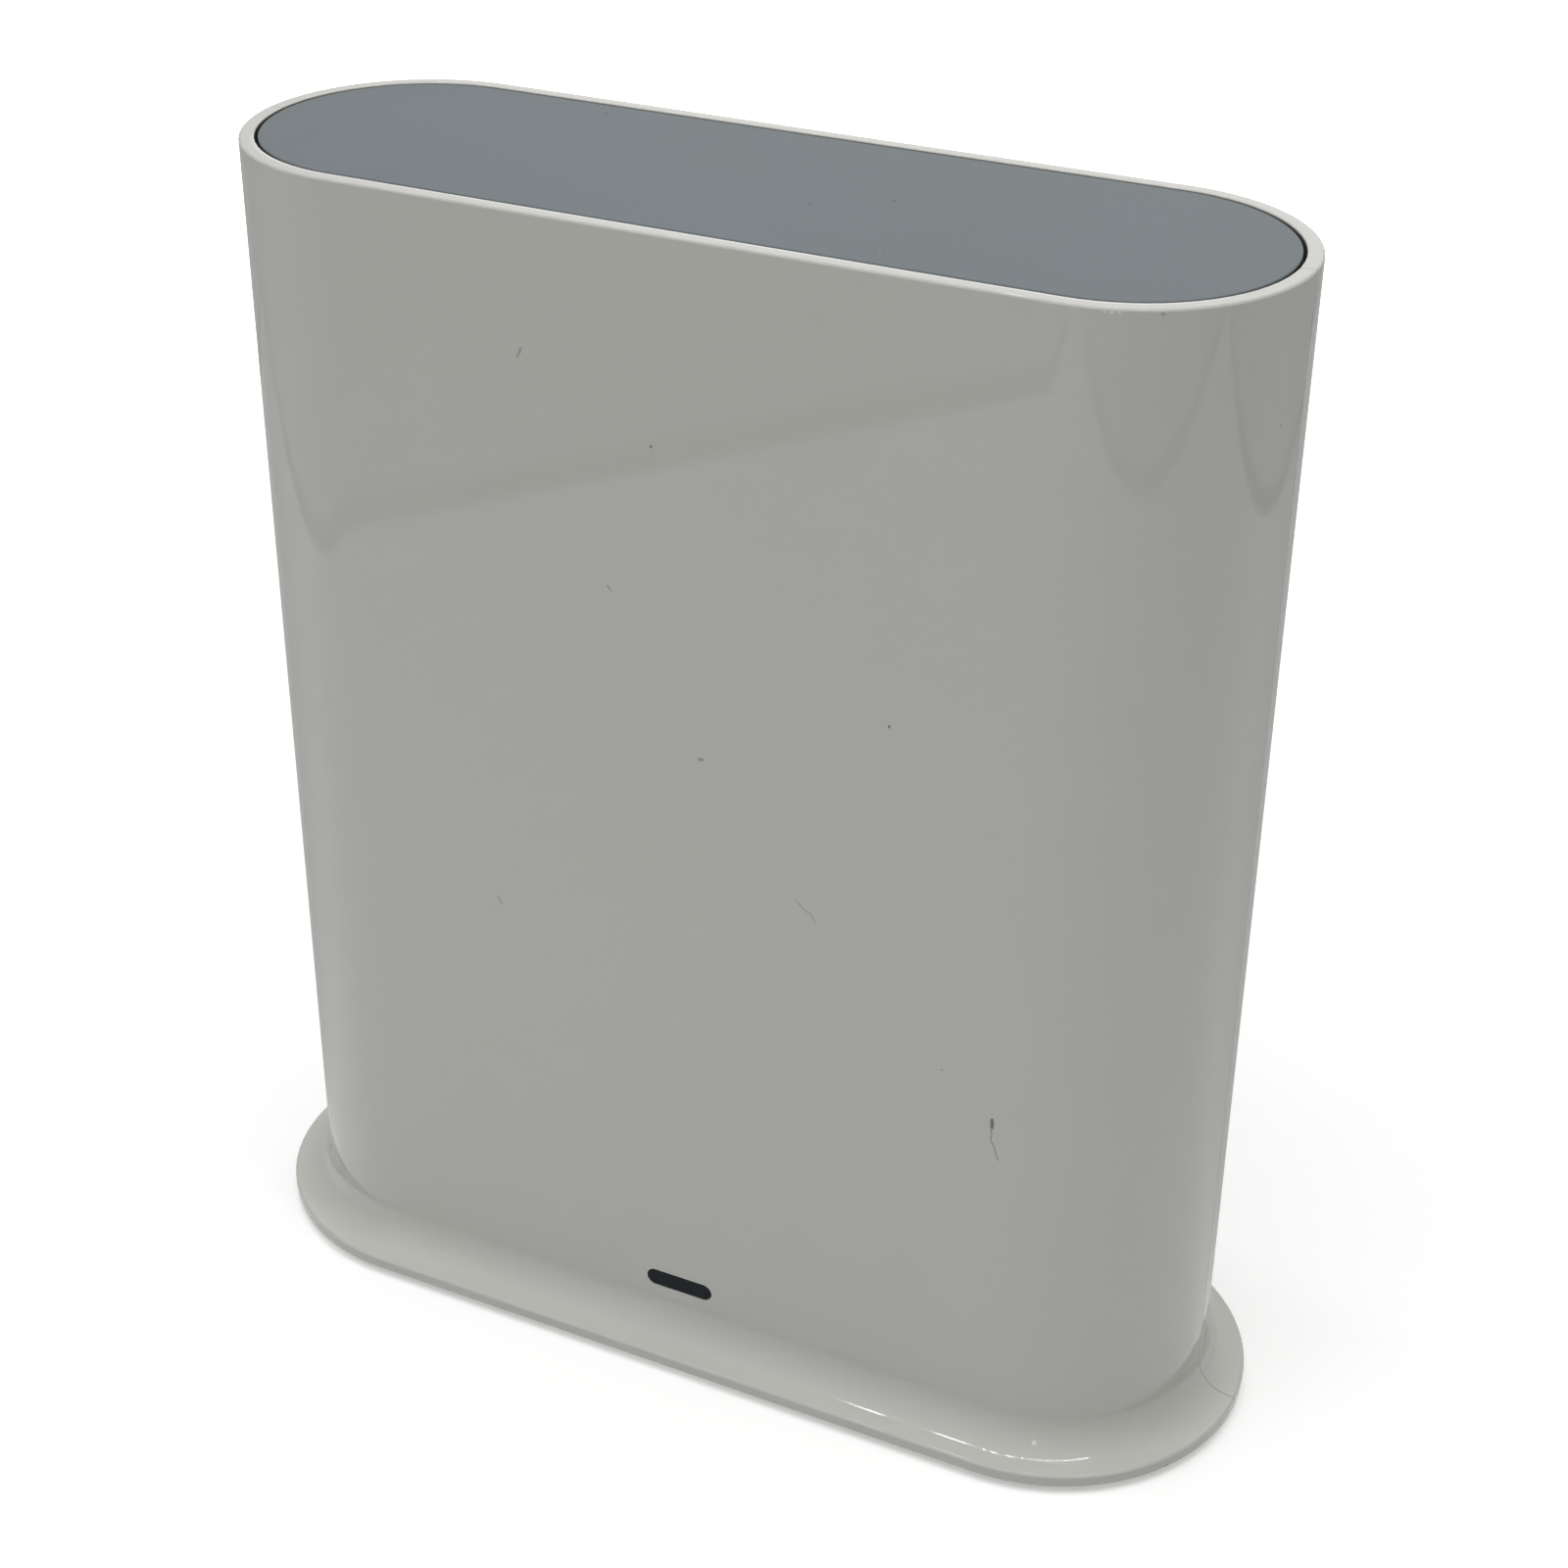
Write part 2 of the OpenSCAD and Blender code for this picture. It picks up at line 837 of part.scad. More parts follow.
module port_panel() {
    plate_w = recess_w + 2 * (recess_wall + panel_ear);
    plate_h = recess_h + 2 * recess_wall;
    color(cover_grey)
        difference() {
            slab(y_panel_in, y_panel_out)
                translate([0, z_recess])
                    rounded_rect(plate_w, plate_h, recess_r);
            slab(y_panel_in - past, y_panel_out + past)
                translate([0, z_recess]) {
                    translate([jack_x, 0])
                        square([jack_w + 2 * fit_gap, jack_tall + 2 * fit_gap], center = true);
                    translate([storage_x, 0])
                        square([storage_w + 2 * fit_gap, storage_tall + 2 * fit_gap], center = true);
                    translate([power_jack_x, 0])
                        circle(d = nose_d + 2 * fit_gap);
                    translate([power_x, 0])
                        circle(d = power_d + 2 * slide_gap);
                    translate([sync_x, sync_up])
                        circle(d = sync_d + 2 * slide_gap);
                    translate([sync_x, -reset_down])
                        circle(d = reset_d);
                }
            for (p = panel_screw_places)
                rod(p[0], p[1], small_screw_d + 2 * fit_gap, y_panel_in - past, y_panel_out + past);
        }
}

module port_panel_screws() {
    color(steel)
        for (p = panel_screw_places)
            facing_front(p[0], y_panel_in, p[1])
                pan_screw(small_screw_d, small_head_d, small_head_h, panel_screw_l);
}

// Main board and what it carries

module main_board() {
    color(board_green)
        difference() {
            slab(y_board_front, y_board_back)
                translate([0, z_board + board_h / 2])
                    rounded_rect(board_w, board_h, board_corner_r);
            for (p = board_screw_places)
                rod(p[0], p[1], screw_d + 2 * fit_gap, y_board_front - past, y_board_back + past);
            for (p = sink_screw_places)
                rod(p[0], p[1], small_screw_d + 2 * fit_gap, y_board_front - past, y_board_back + past);
        }
}

module board_screws() {
    color(steel)
        for (p = board_screw_places)
            facing_front(p[0], y_board_front, p[1])
                pan_screw(screw_d, screw_head_d, screw_head_h, board_screw_l);
}

module processor() {
    color(black_plastic)
        block(0, z_chip, chip_w, chip_w, y_chip_face, y_board_front);
}

module memory_chips() {
    memory_x = chip_w / 2 + memory_gap + memory_w / 2;
    color(black_plastic)
        for (s = [-1, 1])
            block(s * memory_x, z_chip, memory_w, memory_h, y_board_front - memory_t, y_board_front);
}

module flash_chip() {
    flash_z = z_chip - sink_h / 2 - flash_h;
    color(black_plastic)
        block(0, flash_z, flash_w, flash_h, y_board_front - flash_t, y_board_front);
}

module thermal_pad() {
    color("lightblue")
        block(0, z_chip, chip_w - 2 * pad_inset, chip_w - 2 * pad_inset, y_sink_back, y_chip_face);
}

module heat_sink() {
    fin_pitch = (sink_w - fin_t) / (fin_count - 1);
    color(steel)
        difference() {
            union() {
                block(0, z_chip, sink_w, sink_h, y_sink_front, y_sink_back);
                for (i = [0:fin_count - 1])
                    block(-sink_w / 2 + fin_t / 2 + i * fin_pitch, z_chip, fin_t, sink_h,
                        y_sink_front - fin_l, y_sink_front + root);
                for (p = sink_screw_places)
                    rod(p[0], p[1], sink_leg_d, y_sink_back - root, y_board_front);
            }
            for (p = sink_screw_places)
                rod(p[0], p[1], small_screw_d + 2 * screw_gap,
                    y_board_front - (sink_screw_l - board_t) - pilot_spare, y_board_front + past);
        }
}

module heat_sink_screws() {
    color(steel)
        for (p = sink_screw_places)
            facing_back(p[0], y_board_back, p[1])
                pan_screw(small_screw_d, small_head_d, small_head_h, sink_screw_l);
}

module power_coils() {
    color(black_plastic)
        for (x = coil_places)
            block(x, z_board + parts_up, coil_w, coil_w, y_board_back, y_board_back + coil_t);
}

module capacitors() {
    color(steel)
        for (x = capacitor_places)
            rod(x, z_board + parts_up, can_d, y_board_back, y_board_back + can_h);
}

module network_magnetics() {
    color(black_plastic)
        block(jack_x, z_board + parts_up, magnetics_w, magnetics_h,
            y_board_back, y_board_back + magnetics_t);
}

module radio_chip(s) {
    color(black_plastic)
        block(s * shield_x, z_shield, radio_w, radio_w, y_board_front - radio_t, y_board_front);
}

module radio_shield(s) {
    color(steel)
        difference() {
            block(s * shield_x, z_shield, shield_w, shield_h, y_board_front - shield_d, y_board_front);
            block(s * shield_x, z_shield, shield_w - 2 * shield_t, shield_h - 2 * shield_t,
                y_board_front - shield_d + shield_t, y_board_front + past);
        }
}

// Aerials

module aerial_bracket() {
    color("ivory")
        difference() {
            slab(y_bracket_front, y_board_back)
                translate([0, z_bracket_mid])
                    rounded_rect(bracket_w, bracket_h, bracket_corner_r);
            for (p = bracket_screw_places)
                rod(p[0], p[1], screw_d + 2 * fit_gap, y_bracket_front - past, y_board_back + past);
        }
}

module aerial_bracket_screws() {
    color(steel)
        for (p = bracket_screw_places)
            facing_front(p[0], y_bracket_front, p[1])
                pan_screw(screw_d, screw_head_d, screw_head_h, board_screw_l);
}

// An aerial board with the solder block that its cable ends in
module aerial(s) {
    color(board_green) {
        block(s * aerial_x, z_bracket_mid, aerial_w, aerial_h, y_bracket_front - aerial_t, y_bracket_front);
        block(s * aerial_x, z_feed + feed_h / 2, feed_w, feed_h,
            y_bracket_front - aerial_t - feed_t, y_bracket_front - aerial_t + root / 2);
    }
}

module aerial_sockets() {
    color(gold)
        for (s = [-1, 1])
            block(s * coax_x, z_coax, socket_w, socket_w, y_board_front - socket_t, y_board_front);
}

// The push-on plugs, each with a crimp that points up along its cable
module aerial_plugs() {
    y_cap = y_board_front - socket_t;
    color(gold)
        for (s = [-1, 1]) {
            rod(s * coax_x, z_coax, coax_plug_d, y_cap - coax_plug_t, y_cap);
            block(s * coax_x, z_coax + coax_crimp_l / 2, coax_crimp_w, coax_crimp_l,
                y_cap - coax_plug_t, y_cap);
        }
}

// A point on the smooth curve through four control points
function curve_point(p, t) =
    pow(1 - t, 3) * p[0] + 3 * pow(1 - t, 2) * t * p[1] + 3 * (1 - t) * t * t * p[2] + pow(t, 3) * p[3];

// A cable of level rings along a curve that rises all the way
module rising_cable(p, d) {
    rings = [for (i = [0:coax_rings]) let (c = curve_point(p, i / coax_rings))
        [for (k = [0:coax_sides - 1]) let (a = 360 * k / coax_sides)
            c + d / 2 * [cos(a), sin(a), 0]]];
    points = [for (ring = rings) for (q = ring) q];
    sides = [for (i = [0:coax_rings - 1], k = [0:coax_sides - 1])
        let (a = i * coax_sides + k, b = i * coax_sides + (k + 1) % coax_sides)
        each [[a, a + coax_sides, b], [b, a + coax_sides, b + coax_sides]]];
    low = [for (k = [1:coax_sides - 2]) [0, k, k + 1]];
    top = coax_rings * coax_sides;
    high = [for (k = [1:coax_sides - 2]) [top, top + k + 1, top + k]];
    polyhedron(points, concat(sides, low, high));
}

module aerial_cable(s) {
    start = [s * coax_x, y_coax, z_coax + coax_crimp_l];
    end = [s * aerial_x, y_feed, z_feed];
    rise = (end[2] - start[2]) / 2;
    color(black_plastic)
        rising_cable([start, start + [0, 0, rise], end - [0, 0, rise], end], coax_d);
}

// Ports

module network_jack_can() {
    color(steel)
        difference() {
            block(jack_x, z_recess, jack_w, jack_tall, y_board_back, y_panel_out);
            block(jack_x, z_recess, jack_w - 2 * can_t, jack_tall - 2 * can_t,
                y_board_back - past, y_panel_out + past);
        }
}

module network_jack_insert() {
    w = jack_w - 2 * can_t - 2 * can_gap;
    h = jack_tall - 2 * can_t - 2 * can_gap;
    plug_z = z_recess - plug_drop;
    latch_z = plug_z - plug_h / 2 - latch_slot_h / 2 + root / 2;
    y_floor = y_panel_out - jack_deep;
    color(black_plastic)
        difference() {
            block(jack_x, z_recess, w, h, y_board_back, y_panel_out - can_gap);
            block(jack_x, plug_z, plug_w, plug_h, y_floor, y_panel_out + past);
            block(jack_x, latch_z, latch_slot_w, latch_slot_h + root, y_floor, y_panel_out + past);
            for (s = [-1, 1])
                jack_lamp_block(s, fit_gap / 2, y_panel_out + past);
        }
}

// The place of a jack lamp above the plug, with a margin all round, out to y
module jack_lamp_block(s, margin, y_out) {
    lamp_z = z_recess - plug_drop + plug_h / 2 + (jack_tall / 2 - can_t + plug_drop - plug_h / 2) / 2;
    block(jack_x + s * jack_lamp_x, lamp_z, jack_lamp_w + 2 * margin, jack_lamp_h + 2 * margin,
        y_panel_out - can_gap - jack_lamp_t, y_out);
}

module network_jack_lamps() {
    color("palegreen")
        for (s = [-1, 1])
            jack_lamp_block(s, 0, y_panel_out - can_gap);
}

// Spring wires that hang from the roof of the plug cavity and slope inwards
module network_jack_contacts() {
    z_roof = z_recess - plug_drop + plug_h / 2;
    y_root = y_panel_out - contact_root_in;
    y_tip = y_panel_out - jack_deep + contact_tip_clear;
    z_tip = z_roof - contact_dip;
    color(gold)
        for (i = [0:contact_count - 1])
            translate([jack_x + (i - (contact_count - 1) / 2) * contact_pitch - contact_w / 2, 0, 0])
                rotate([90, 0, 90])
                    linear_extrude(contact_w)
                        polygon([
                            [y_root, z_roof],
                            [y_root - 2 * contact_t, z_roof],
                            [y_tip, z_tip],
                            [y_tip, z_tip - contact_t]
                        ]);
}

module storage_port_shell() {
    color(steel)
        difference() {
            block(storage_x, z_recess, storage_w, storage_tall, y_board_back, y_panel_out);
            block(storage_x, z_recess, storage_w - 2 * storage_t, storage_tall - 2 * storage_t,
                y_board_back - past, y_panel_out + past);
        }
}

module storage_port_tongue() {
    w = storage_w - 2 * storage_t - 2 * can_gap;
    h = storage_tall - 2 * storage_t - 2 * can_gap;
    y_floor = y_panel_out - storage_deep;
    color("white") {
        block(storage_x, z_recess, w, h, y_board_back, y_floor);
        block(storage_x, z_recess + storage_tongue_up, storage_tongue_w, storage_tongue_h,
            y_floor - root, y_panel_out - storage_tongue_short);
    }
}

module storage_port_contacts() {
    z_face = z_recess + storage_tongue_up - storage_tongue_h / 2;
    y_floor = y_panel_out - storage_deep;
    color(gold)
        for (x = storage_contact_places)
            block(storage_x + x, z_face - storage_contact_t / 2, storage_contact_w, storage_contact_t,
                y_floor, y_floor + storage_contact_l);
}

module power_jack() {
    y_nose = y_panel_in - fit_gap;
    color(black_plastic)
        difference() {
            union() {
                block(power_jack_x, z_recess, power_block_w, power_block_h, y_board_back, y_nose);
                rod(power_jack_x, z_recess, nose_d, y_nose - root, y_panel_out);
            }
            rod(power_jack_x, z_recess, barrel_d, y_panel_out - barrel_deep, y_panel_out + past);
        }
}

module power_jack_pin() {
    pin_l = barrel_deep - centre_pin_short;
    color(steel)
        facing_back(power_jack_x, y_panel_out - barrel_deep, z_recess)
            rotate_extrude()
                difference() {
                    square([centre_pin_d / 2, pin_l]);
                    translate([centre_pin_d / 2 - centre_pin_round, pin_l - centre_pin_round])
                        corner_waste(centre_pin_round);
                }
}

// Buttons and switches

// A button cap held behind the panel by its flange, with a stem that reaches in to y_tip
module button_cap(x, z, d, proud, y_tip) {
    facing_back(x, y_panel_in, z)
        rotate_extrude()
            button_profile(d / 2, panel_t + proud);
    rod(x, z, d + 2 * button_flange, y_panel_in - button_flange_t, y_panel_in);
    rod(x, z, stem_d, y_tip, y_panel_in - root);
}

// A switch case on the board with a well for its plunger
module switch_case(x, z, w, h, well_d, well_deep) {
    difference() {
        block(x, z, w, w, y_board_back, y_board_back + h);
        rod(x, z, well_d, y_board_back + h - well_deep, y_board_back + h + past);
    }
}

// A round plunger that stands in its well and out of the case to y_tip
module switch_plunger(x, z, d, h, inside, y_tip) {
    rod(x, z, d, y_board_back + h - inside, y_tip);
}

// Depth of a well that leaves room for the plunger's travel
function well_depth(inside, travel) = inside + travel + well_spare;

module power_button() {
    color("white")
        button_cap(power_x, z_recess, power_d, power_proud, y_board_back + latch_h + latch_plunger_out);
}

module power_switch() {
    color(black_plastic)
        switch_case(power_x, z_recess, latch_w, latch_h, latch_plunger_w + 2 * slide_gap,
            well_depth(latch_plunger_in, power_travel));
}

module power_plunger() {
    color("ivory")
        switch_plunger(power_x, z_recess, latch_plunger_w, latch_h, latch_plunger_in,
            y_board_back + latch_h + latch_plunger_out);
}

module sync_button() {
    color("white")
        button_cap(sync_x, z_recess + sync_up, sync_d, sync_proud,
            y_board_back + tact_h + tact_plunger_out);
}

module sync_switch() {
    color(black_plastic)
        switch_case(sync_x, z_recess + sync_up, tact_w, tact_h, tact_plunger_d + 2 * slide_gap,
            well_depth(tact_plunger_in, sync_travel));
}

module sync_plunger() {
    color("ivory")
        switch_plunger(sync_x, z_recess + sync_up, tact_plunger_d, tact_h, tact_plunger_in,
            y_board_back + tact_h + tact_plunger_out);
}

module reset_switch() {
    color(black_plastic)
        switch_case(sync_x, z_recess - reset_down, tact_w, tact_h, tact_plunger_d + 2 * slide_gap,
            well_depth(tact_plunger_in, reset_travel));
}

module reset_plunger() {
    color("ivory")
        switch_plunger(sync_x, z_recess - reset_down, tact_plunger_d, tact_h, tact_plunger_in,
            y_panel_in - reset_plunger_reach);
}

front_shell();
rear_shell();
top_cover();
base_plate();
rubber_feet();
base_screws();
status_lens();
light_guide();
status_led();
port_panel();
port_panel_screws();
main_board();
board_screws();
processor();
memory_chips();
flash_chip();
thermal_pad();
heat_sink();
heat_sink_screws();
power_coils();
capacitors();
network_magnetics();
radio_chip(-1);  // left_radio_chip
radio_chip(1);  // right_radio_chip
radio_shield(-1);  // left_radio_shield
radio_shield(1);  // right_radio_shield
aerial_bracket();
aerial_bracket_screws();
aerial(-1);  // left_aerial
aerial(1);  // right_aerial
aerial_sockets();
aerial_plugs();
aerial_cable(-1);  // left_aerial_cable
aerial_cable(1);  // right_aerial_cable
network_jack_can();
network_jack_insert();
network_jack_contacts();
network_jack_lamps();
storage_port_shell();
storage_port_tongue();
storage_port_contacts();
power_jack();
power_jack_pin();
power_button();
power_switch();
power_plunger();
sync_button();
sync_switch();
sync_plunger();
reset_switch();
reset_plunger();
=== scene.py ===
# Looks of the camera base station: finishes, softened mouldings, floor, light and camera
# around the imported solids. Metres, +Z up, front towards -Y.
import json
import math

import bmesh
import bpy
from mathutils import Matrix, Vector


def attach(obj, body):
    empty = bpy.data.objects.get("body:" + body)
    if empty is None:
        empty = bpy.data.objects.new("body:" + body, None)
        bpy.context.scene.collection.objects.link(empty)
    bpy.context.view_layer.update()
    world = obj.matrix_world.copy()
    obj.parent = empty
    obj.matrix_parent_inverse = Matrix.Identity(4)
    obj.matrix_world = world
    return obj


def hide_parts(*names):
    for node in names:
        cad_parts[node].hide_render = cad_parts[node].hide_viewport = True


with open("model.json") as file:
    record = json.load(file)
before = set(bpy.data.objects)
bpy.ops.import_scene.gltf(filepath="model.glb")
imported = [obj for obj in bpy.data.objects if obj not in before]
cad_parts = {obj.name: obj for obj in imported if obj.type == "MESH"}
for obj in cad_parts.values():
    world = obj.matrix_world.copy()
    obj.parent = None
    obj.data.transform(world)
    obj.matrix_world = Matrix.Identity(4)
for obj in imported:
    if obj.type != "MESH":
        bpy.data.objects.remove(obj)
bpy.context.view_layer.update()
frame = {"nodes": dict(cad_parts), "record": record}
nodes = frame["nodes"]
MM = 0.001


# Shader arithmetic

class Value:
    """A shader value; arithmetic on it adds Math nodes to its material."""

    def __init__(self, finish, socket):
        self.finish = finish
        self.socket = socket

    def math(self, operation, *terms):
        return self.finish.add("Math", {"operation": operation}, dict(enumerate(terms)))

    def __add__(self, other):
        return self.math("ADD", self, other)

    __radd__ = __add__

    def __sub__(self, other):
        return self.math("SUBTRACT", self, other)

    def __rsub__(self, other):
        return self.math("SUBTRACT", other, self)

    def __mul__(self, other):
        return self.math("MULTIPLY", self, other)

    def __truediv__(self, other):
        return self.math("DIVIDE", self, other)

    def __pow__(self, other):
        return self.math("POWER", self, other)

    def __abs__(self):
        return self.math("ABSOLUTE", self)

    def __gt__(self, other):
        return self.math("GREATER_THAN", self, other)

    def __lt__(self, other):
        return self.math("LESS_THAN", self, other)

    def fraction(self):
        return self.math("FRACT", self)

    def top(self, other):
        return self.math("MAXIMUM", self, other)

    def least(self, other):
        return self.math("MINIMUM", self, other)

    def ramp(self, low, high, to_low=0.0, to_high=1.0):
        """A soft step from to_low at low to to_high at high."""
        return self.finish.add("MapRange", {"interpolation_type": "SMOOTHSTEP"}, {
            "Value": self, "From Min": low, "From Max": high, "To Min": to_low, "To Max": to_high})


class Finish:
    """A procedural material around one Principled shader; constants are set on its sockets."""

    def __init__(self, name, colour, roughness, **constants):
        self.material = bpy.data.materials.new(name)
        self.material.use_nodes = True
        self.tree = self.material.node_tree
        self.shader = self.tree.nodes["Principled BSDF"]
        self.feed("Base Color", (*colour, 1.0))
        self.feed("Roughness", roughness)
        for socket, value in constants.items():
            self.feed(socket.replace("_", " ").title().replace("Ior", "IOR"), value)
        self.place = self.add("TexCoord", out="Object")

    def add(self, kind, settings=None, sockets=None, out=0):
        """Adds a node: its settings first, then the values or links of its sockets."""
        node = self.tree.nodes.new("ShaderNode" + kind)
        for key, value in (settings or {}).items():
            setattr(node, key, value)
        for key, value in (sockets or {}).items():
            self.join(node.inputs[key], value)
        return Value(self, node.outputs[out])

    def join(self, socket, value):
        if isinstance(value, Value):
            self.tree.links.new(value.socket, socket)
        else:
            socket.default_value = value

    def feed(self, socket, value):
        self.join(self.shader.inputs[socket], value)

    def axes(self, place=None):
        split = self.add("SeparateXYZ", sockets={0: place or self.place}).socket.node
        return [Value(self, output) for output in split.outputs]

    def noise(self, scale, detail=2.0, roughness=0.5, place=None):
        return self.add("TexNoise", sockets={
            "Vector": place or self.place, "Scale": scale, "Detail": detail, "Roughness": roughness})

    def cells(self, scale, feature="F1", out="Distance"):
        return self.add("TexVoronoi", {"feature": feature},
                        {"Vector": self.place, "Scale": scale}, out)

    def stretched(self, x, y, z):
        return self.add("Mapping", sockets={"Vector": self.place, "Scale": (x, y, z)})

    def tint(self, mask, colour, other):
        """Colour where the mask is 0, other where it is 1."""
        sides = {0: mask}
        for index, side in ((6, colour), (7, other)):
            sides[index] = side if isinstance(side, Value) else (*side, 1.0)
        return self.add("Mix", {"data_type": "RGBA"}, sides, 2)

    def bump(self, height, depth, under=None):
        sockets = {"Height": height, "Distance": depth, "Strength": 1.0}
        if under:
            sockets["Normal"] = under
        return self.add("Bump", sockets=sockets)


# Finishes

SHELL_WHITE = (0.663, 0.663, 0.620)
SHELL_TINGE = (0.655, 0.657, 0.624)
NICK_AND_GLINT_WHITE = (0.95, 0.95, 0.90)
RIM_HIGHLIGHT_WHITE = (0.88, 0.87, 0.84)
GAP_SHADE = (0.10, 0.096, 0.090)
GRIME = (0.045, 0.042, 0.038)
COVER_GREY = (0.162, 0.183, 0.196)
COVER_SIDE_SHADE = (0.045, 0.043, 0.042)
COVER_DIRT = (0.012, 0.010, 0.010)
PALE_DUST = (0.6, 0.6, 0.58)

# The body in mm: half its straight length, the inside of its wall, the rim, the top of the cover,
# and the depth in front of which the front wall lies
BODY_HALF = 43.2
INSIDE_WALL = 18.52
RIM_TOP = 151.0
COVER_TOP = 150.95
FRONT_WALL = -18.9

# Marks of use on the front wall: the points each runs through, in mm across and up, half width
# and darkness
FRONT_MARKS = {
    "hooked scratch": ([(41.5, 50.0), (41.5, 48.0), (42.0, 47.0), (42.5, 45.5)], 0.10, 0.45),
    "thick end of the hook": ([(41.5, 51.0), (41.5, 50.0)], 0.22, 0.85),
    "hair scratch": ([(16.0, 74.0), (17.0, 73.0), (18.0, 72.5), (18.5, 71.5)], 0.08, 0.40),
    "scuff near the rim": ([(-18.5, 134.5), (-18.0, 135.5)], 0.14, 0.45),
    "scuff in the middle": ([(3.5, 89.5), (4.0, 89.5)], 0.16, 0.60),
    "scuff on the left": ([(-24.5, 63.0), (-24.0, 62.0)], 0.12, 0.35),
    "small scuff": ([(-8.0, 109.0), (-7.5, 108.5)], 0.10, 0.50),
    "upper pit": ([(-2.0, 127.0), (-2.0, 127.1)], 0.13, 0.75),
    "middle pit": ([(27.0, 99.5), (27.0, 99.6)], 0.15, 0.90),
    "lower pit": ([(35.0, 56.0), (35.0, 56.1)], 0.14, 0.45),
}

# Specks round the right end, and pale nicks where its edges were knocked, with a painted glint
# on the flange: degrees round from the front, mm from the end's axis, mm up, radius in mm, strength
END_SPECKS = {
    "speck on the rim": (30.0, 20.3, 150.5, 0.24, 0.32),
    "speck on the wall": (75.0, 20.3, 136.0, 0.17, 0.50),
    "speck on the flange": (57.0, 25.5, 1.3, 0.28, 0.40),
}
END_NICKS_AND_GLINT = {
    "left nick of the rim": (14.0, 20.3, 150.6, 0.14, 0.7),
    "middle nick of the rim": (16.0, 20.3, 150.6, 0.20, 0.9),
    "right nick of the rim": (18.0, 20.3, 150.6, 0.17, 0.8),
    # Painted highlight: a glint in the sweep of the flange, drawn pale like the nicks
    "painted glint on the flange": (17.0, 21.5, 4.4, 0.30, 1.0),
}
# Specks on the cover: mm across and back, half width, strength
COVER_SPECKS = {
    "speck at the back": (-26.5, 15.0, 0.18, 0.60),
    "speck in the middle": (9.0, -4.0, 0.17, 0.35),
    "speck on the right": (16.5, 1.0, 0.17, 0.42),
}
SPECK_LENGTH = 2.4
# Drawn marks waver at this scale per metre, by this reach in mm on the shell and on the cover
WAVER_SCALE = 1500.0
SHELL_WAVER = 0.3
COVER_WAVER = 0.2
# Drawn marks fade out between these shares of their half width or radius
STROKE_EDGE = (0.55, 1.5)
SPECK_EDGE = (0.5, 1.4)

# Noise between these values shades clouds and tinges
CLOUD_SPREAD = (0.3, 0.7)

# White plastic: noise scales per metre, heights in metres, and heights in mm where the sweep ends
SHELL_GLOSS = 0.030
SMEAR_SCALE, SMEAR_SPREAD, SMEAR_ROUGH = 26.0, (0.42, 0.72), 0.02
GRAIN_SCALE, GRAIN_ROUGH = 2600.0, 0.01
TINGE_SCALE = 9.0
SHELL_DUST_SCALE, SHELL_DUST_GRAIN = 240.0, (0.012, 0.026)
SHELL_DUST_ABOVE, SHELL_DUST_SHARE = 0.90, 0.35
WORN_SCALE, WORN_SPREAD, WORN_SHARE = 5000.0, (0.25, 0.6), (0.55, 1.0)
GRIME_ROUGH, INSIDE_ROUGH = 0.6, 0.5
PEEL_SCALE, PEEL_HEIGHT = 420.0, 1.6e-6
FINE_PEEL_SCALE, FINE_PEEL_HEIGHT = 1500.0, 0.35e-6
CHATTER_SCALE, CHATTER_HEIGHT = (2400.0, 2400.0, 500.0), 0.6e-6
SWEEP_TOP = (4.0, 9.0)
# Painted shade on the inside of the wall, in the gap between the rim and the cover: how far into the
# wall and below the rim it fades, in mm
GAP_SHADE_FADE = 0.1
GAP_SHADE_BELOW_RIM = (0.35, 0.10)
# The painted highlight along the rim's inner edge at the front: how far into the wall, below the rim
# and towards the back it fades, in mm
RIM_HIGHLIGHT_FADE = (0.25, 0.60)
RIM_HIGHLIGHT_BELOW_RIM = (0.12, 0.04)
RIM_HIGHLIGHT_DEPTH = (-16.0, -8.0)
RIM_HIGHLIGHT_SHARE = 0.8

# Grey plastic: shades are shares of its colour, and the painted shade on the cover's side fades
# below its top, in mm
SATIN = 0.46
SPARK_SCALE, SPARK_HEIGHT, SPARK_ROUGH = 4200.0, 6.0e-6, 0.08
SPARK_SPREAD, SPARK_SHARE, SPARK_SHADE = (0.35, 0.75), 0.35, 0.86
GREY_CLOUD_SCALE, GREY_CLOUD_ROUGH = 30.0, 0.03
GREY_CLOUD_DARK, GREY_CLOUD_PALE = 0.975, 1.05
COVER_DUST_SCALE, COVER_DUST_GRAIN = 210.0, (0.020, 0.040)
DARK_DUST_ABOVE, DARK_DUST_SHARE, DARK_DUST_SHADE = 0.94, 0.5, 0.35
PALE_DUST_ABOVE, PALE_DUST_SHARE = 0.95, 0.35
SIDE_SHADE_BELOW_TOP = (0.32, 0.16)

# Other plastics and metals; roughness is a share that is always there and one that varies
CLOUD_SCALE, CLOUD_DARK, CLOUD_PALE = 70.0, 0.93, 1.06
PLASTIC_ROUGH = (0.85, 0.3)
METAL_ROUGH = (0.8, 0.5)
STAIN_SCALE, STAIN_SPREAD, STAIN_SHADE, STAIN_ROUGH = 220.0, (0.35, 0.75), 0.82, 0.06
LAY_SCALE, LAY_HEIGHT = 2500.0, 1.5e-6

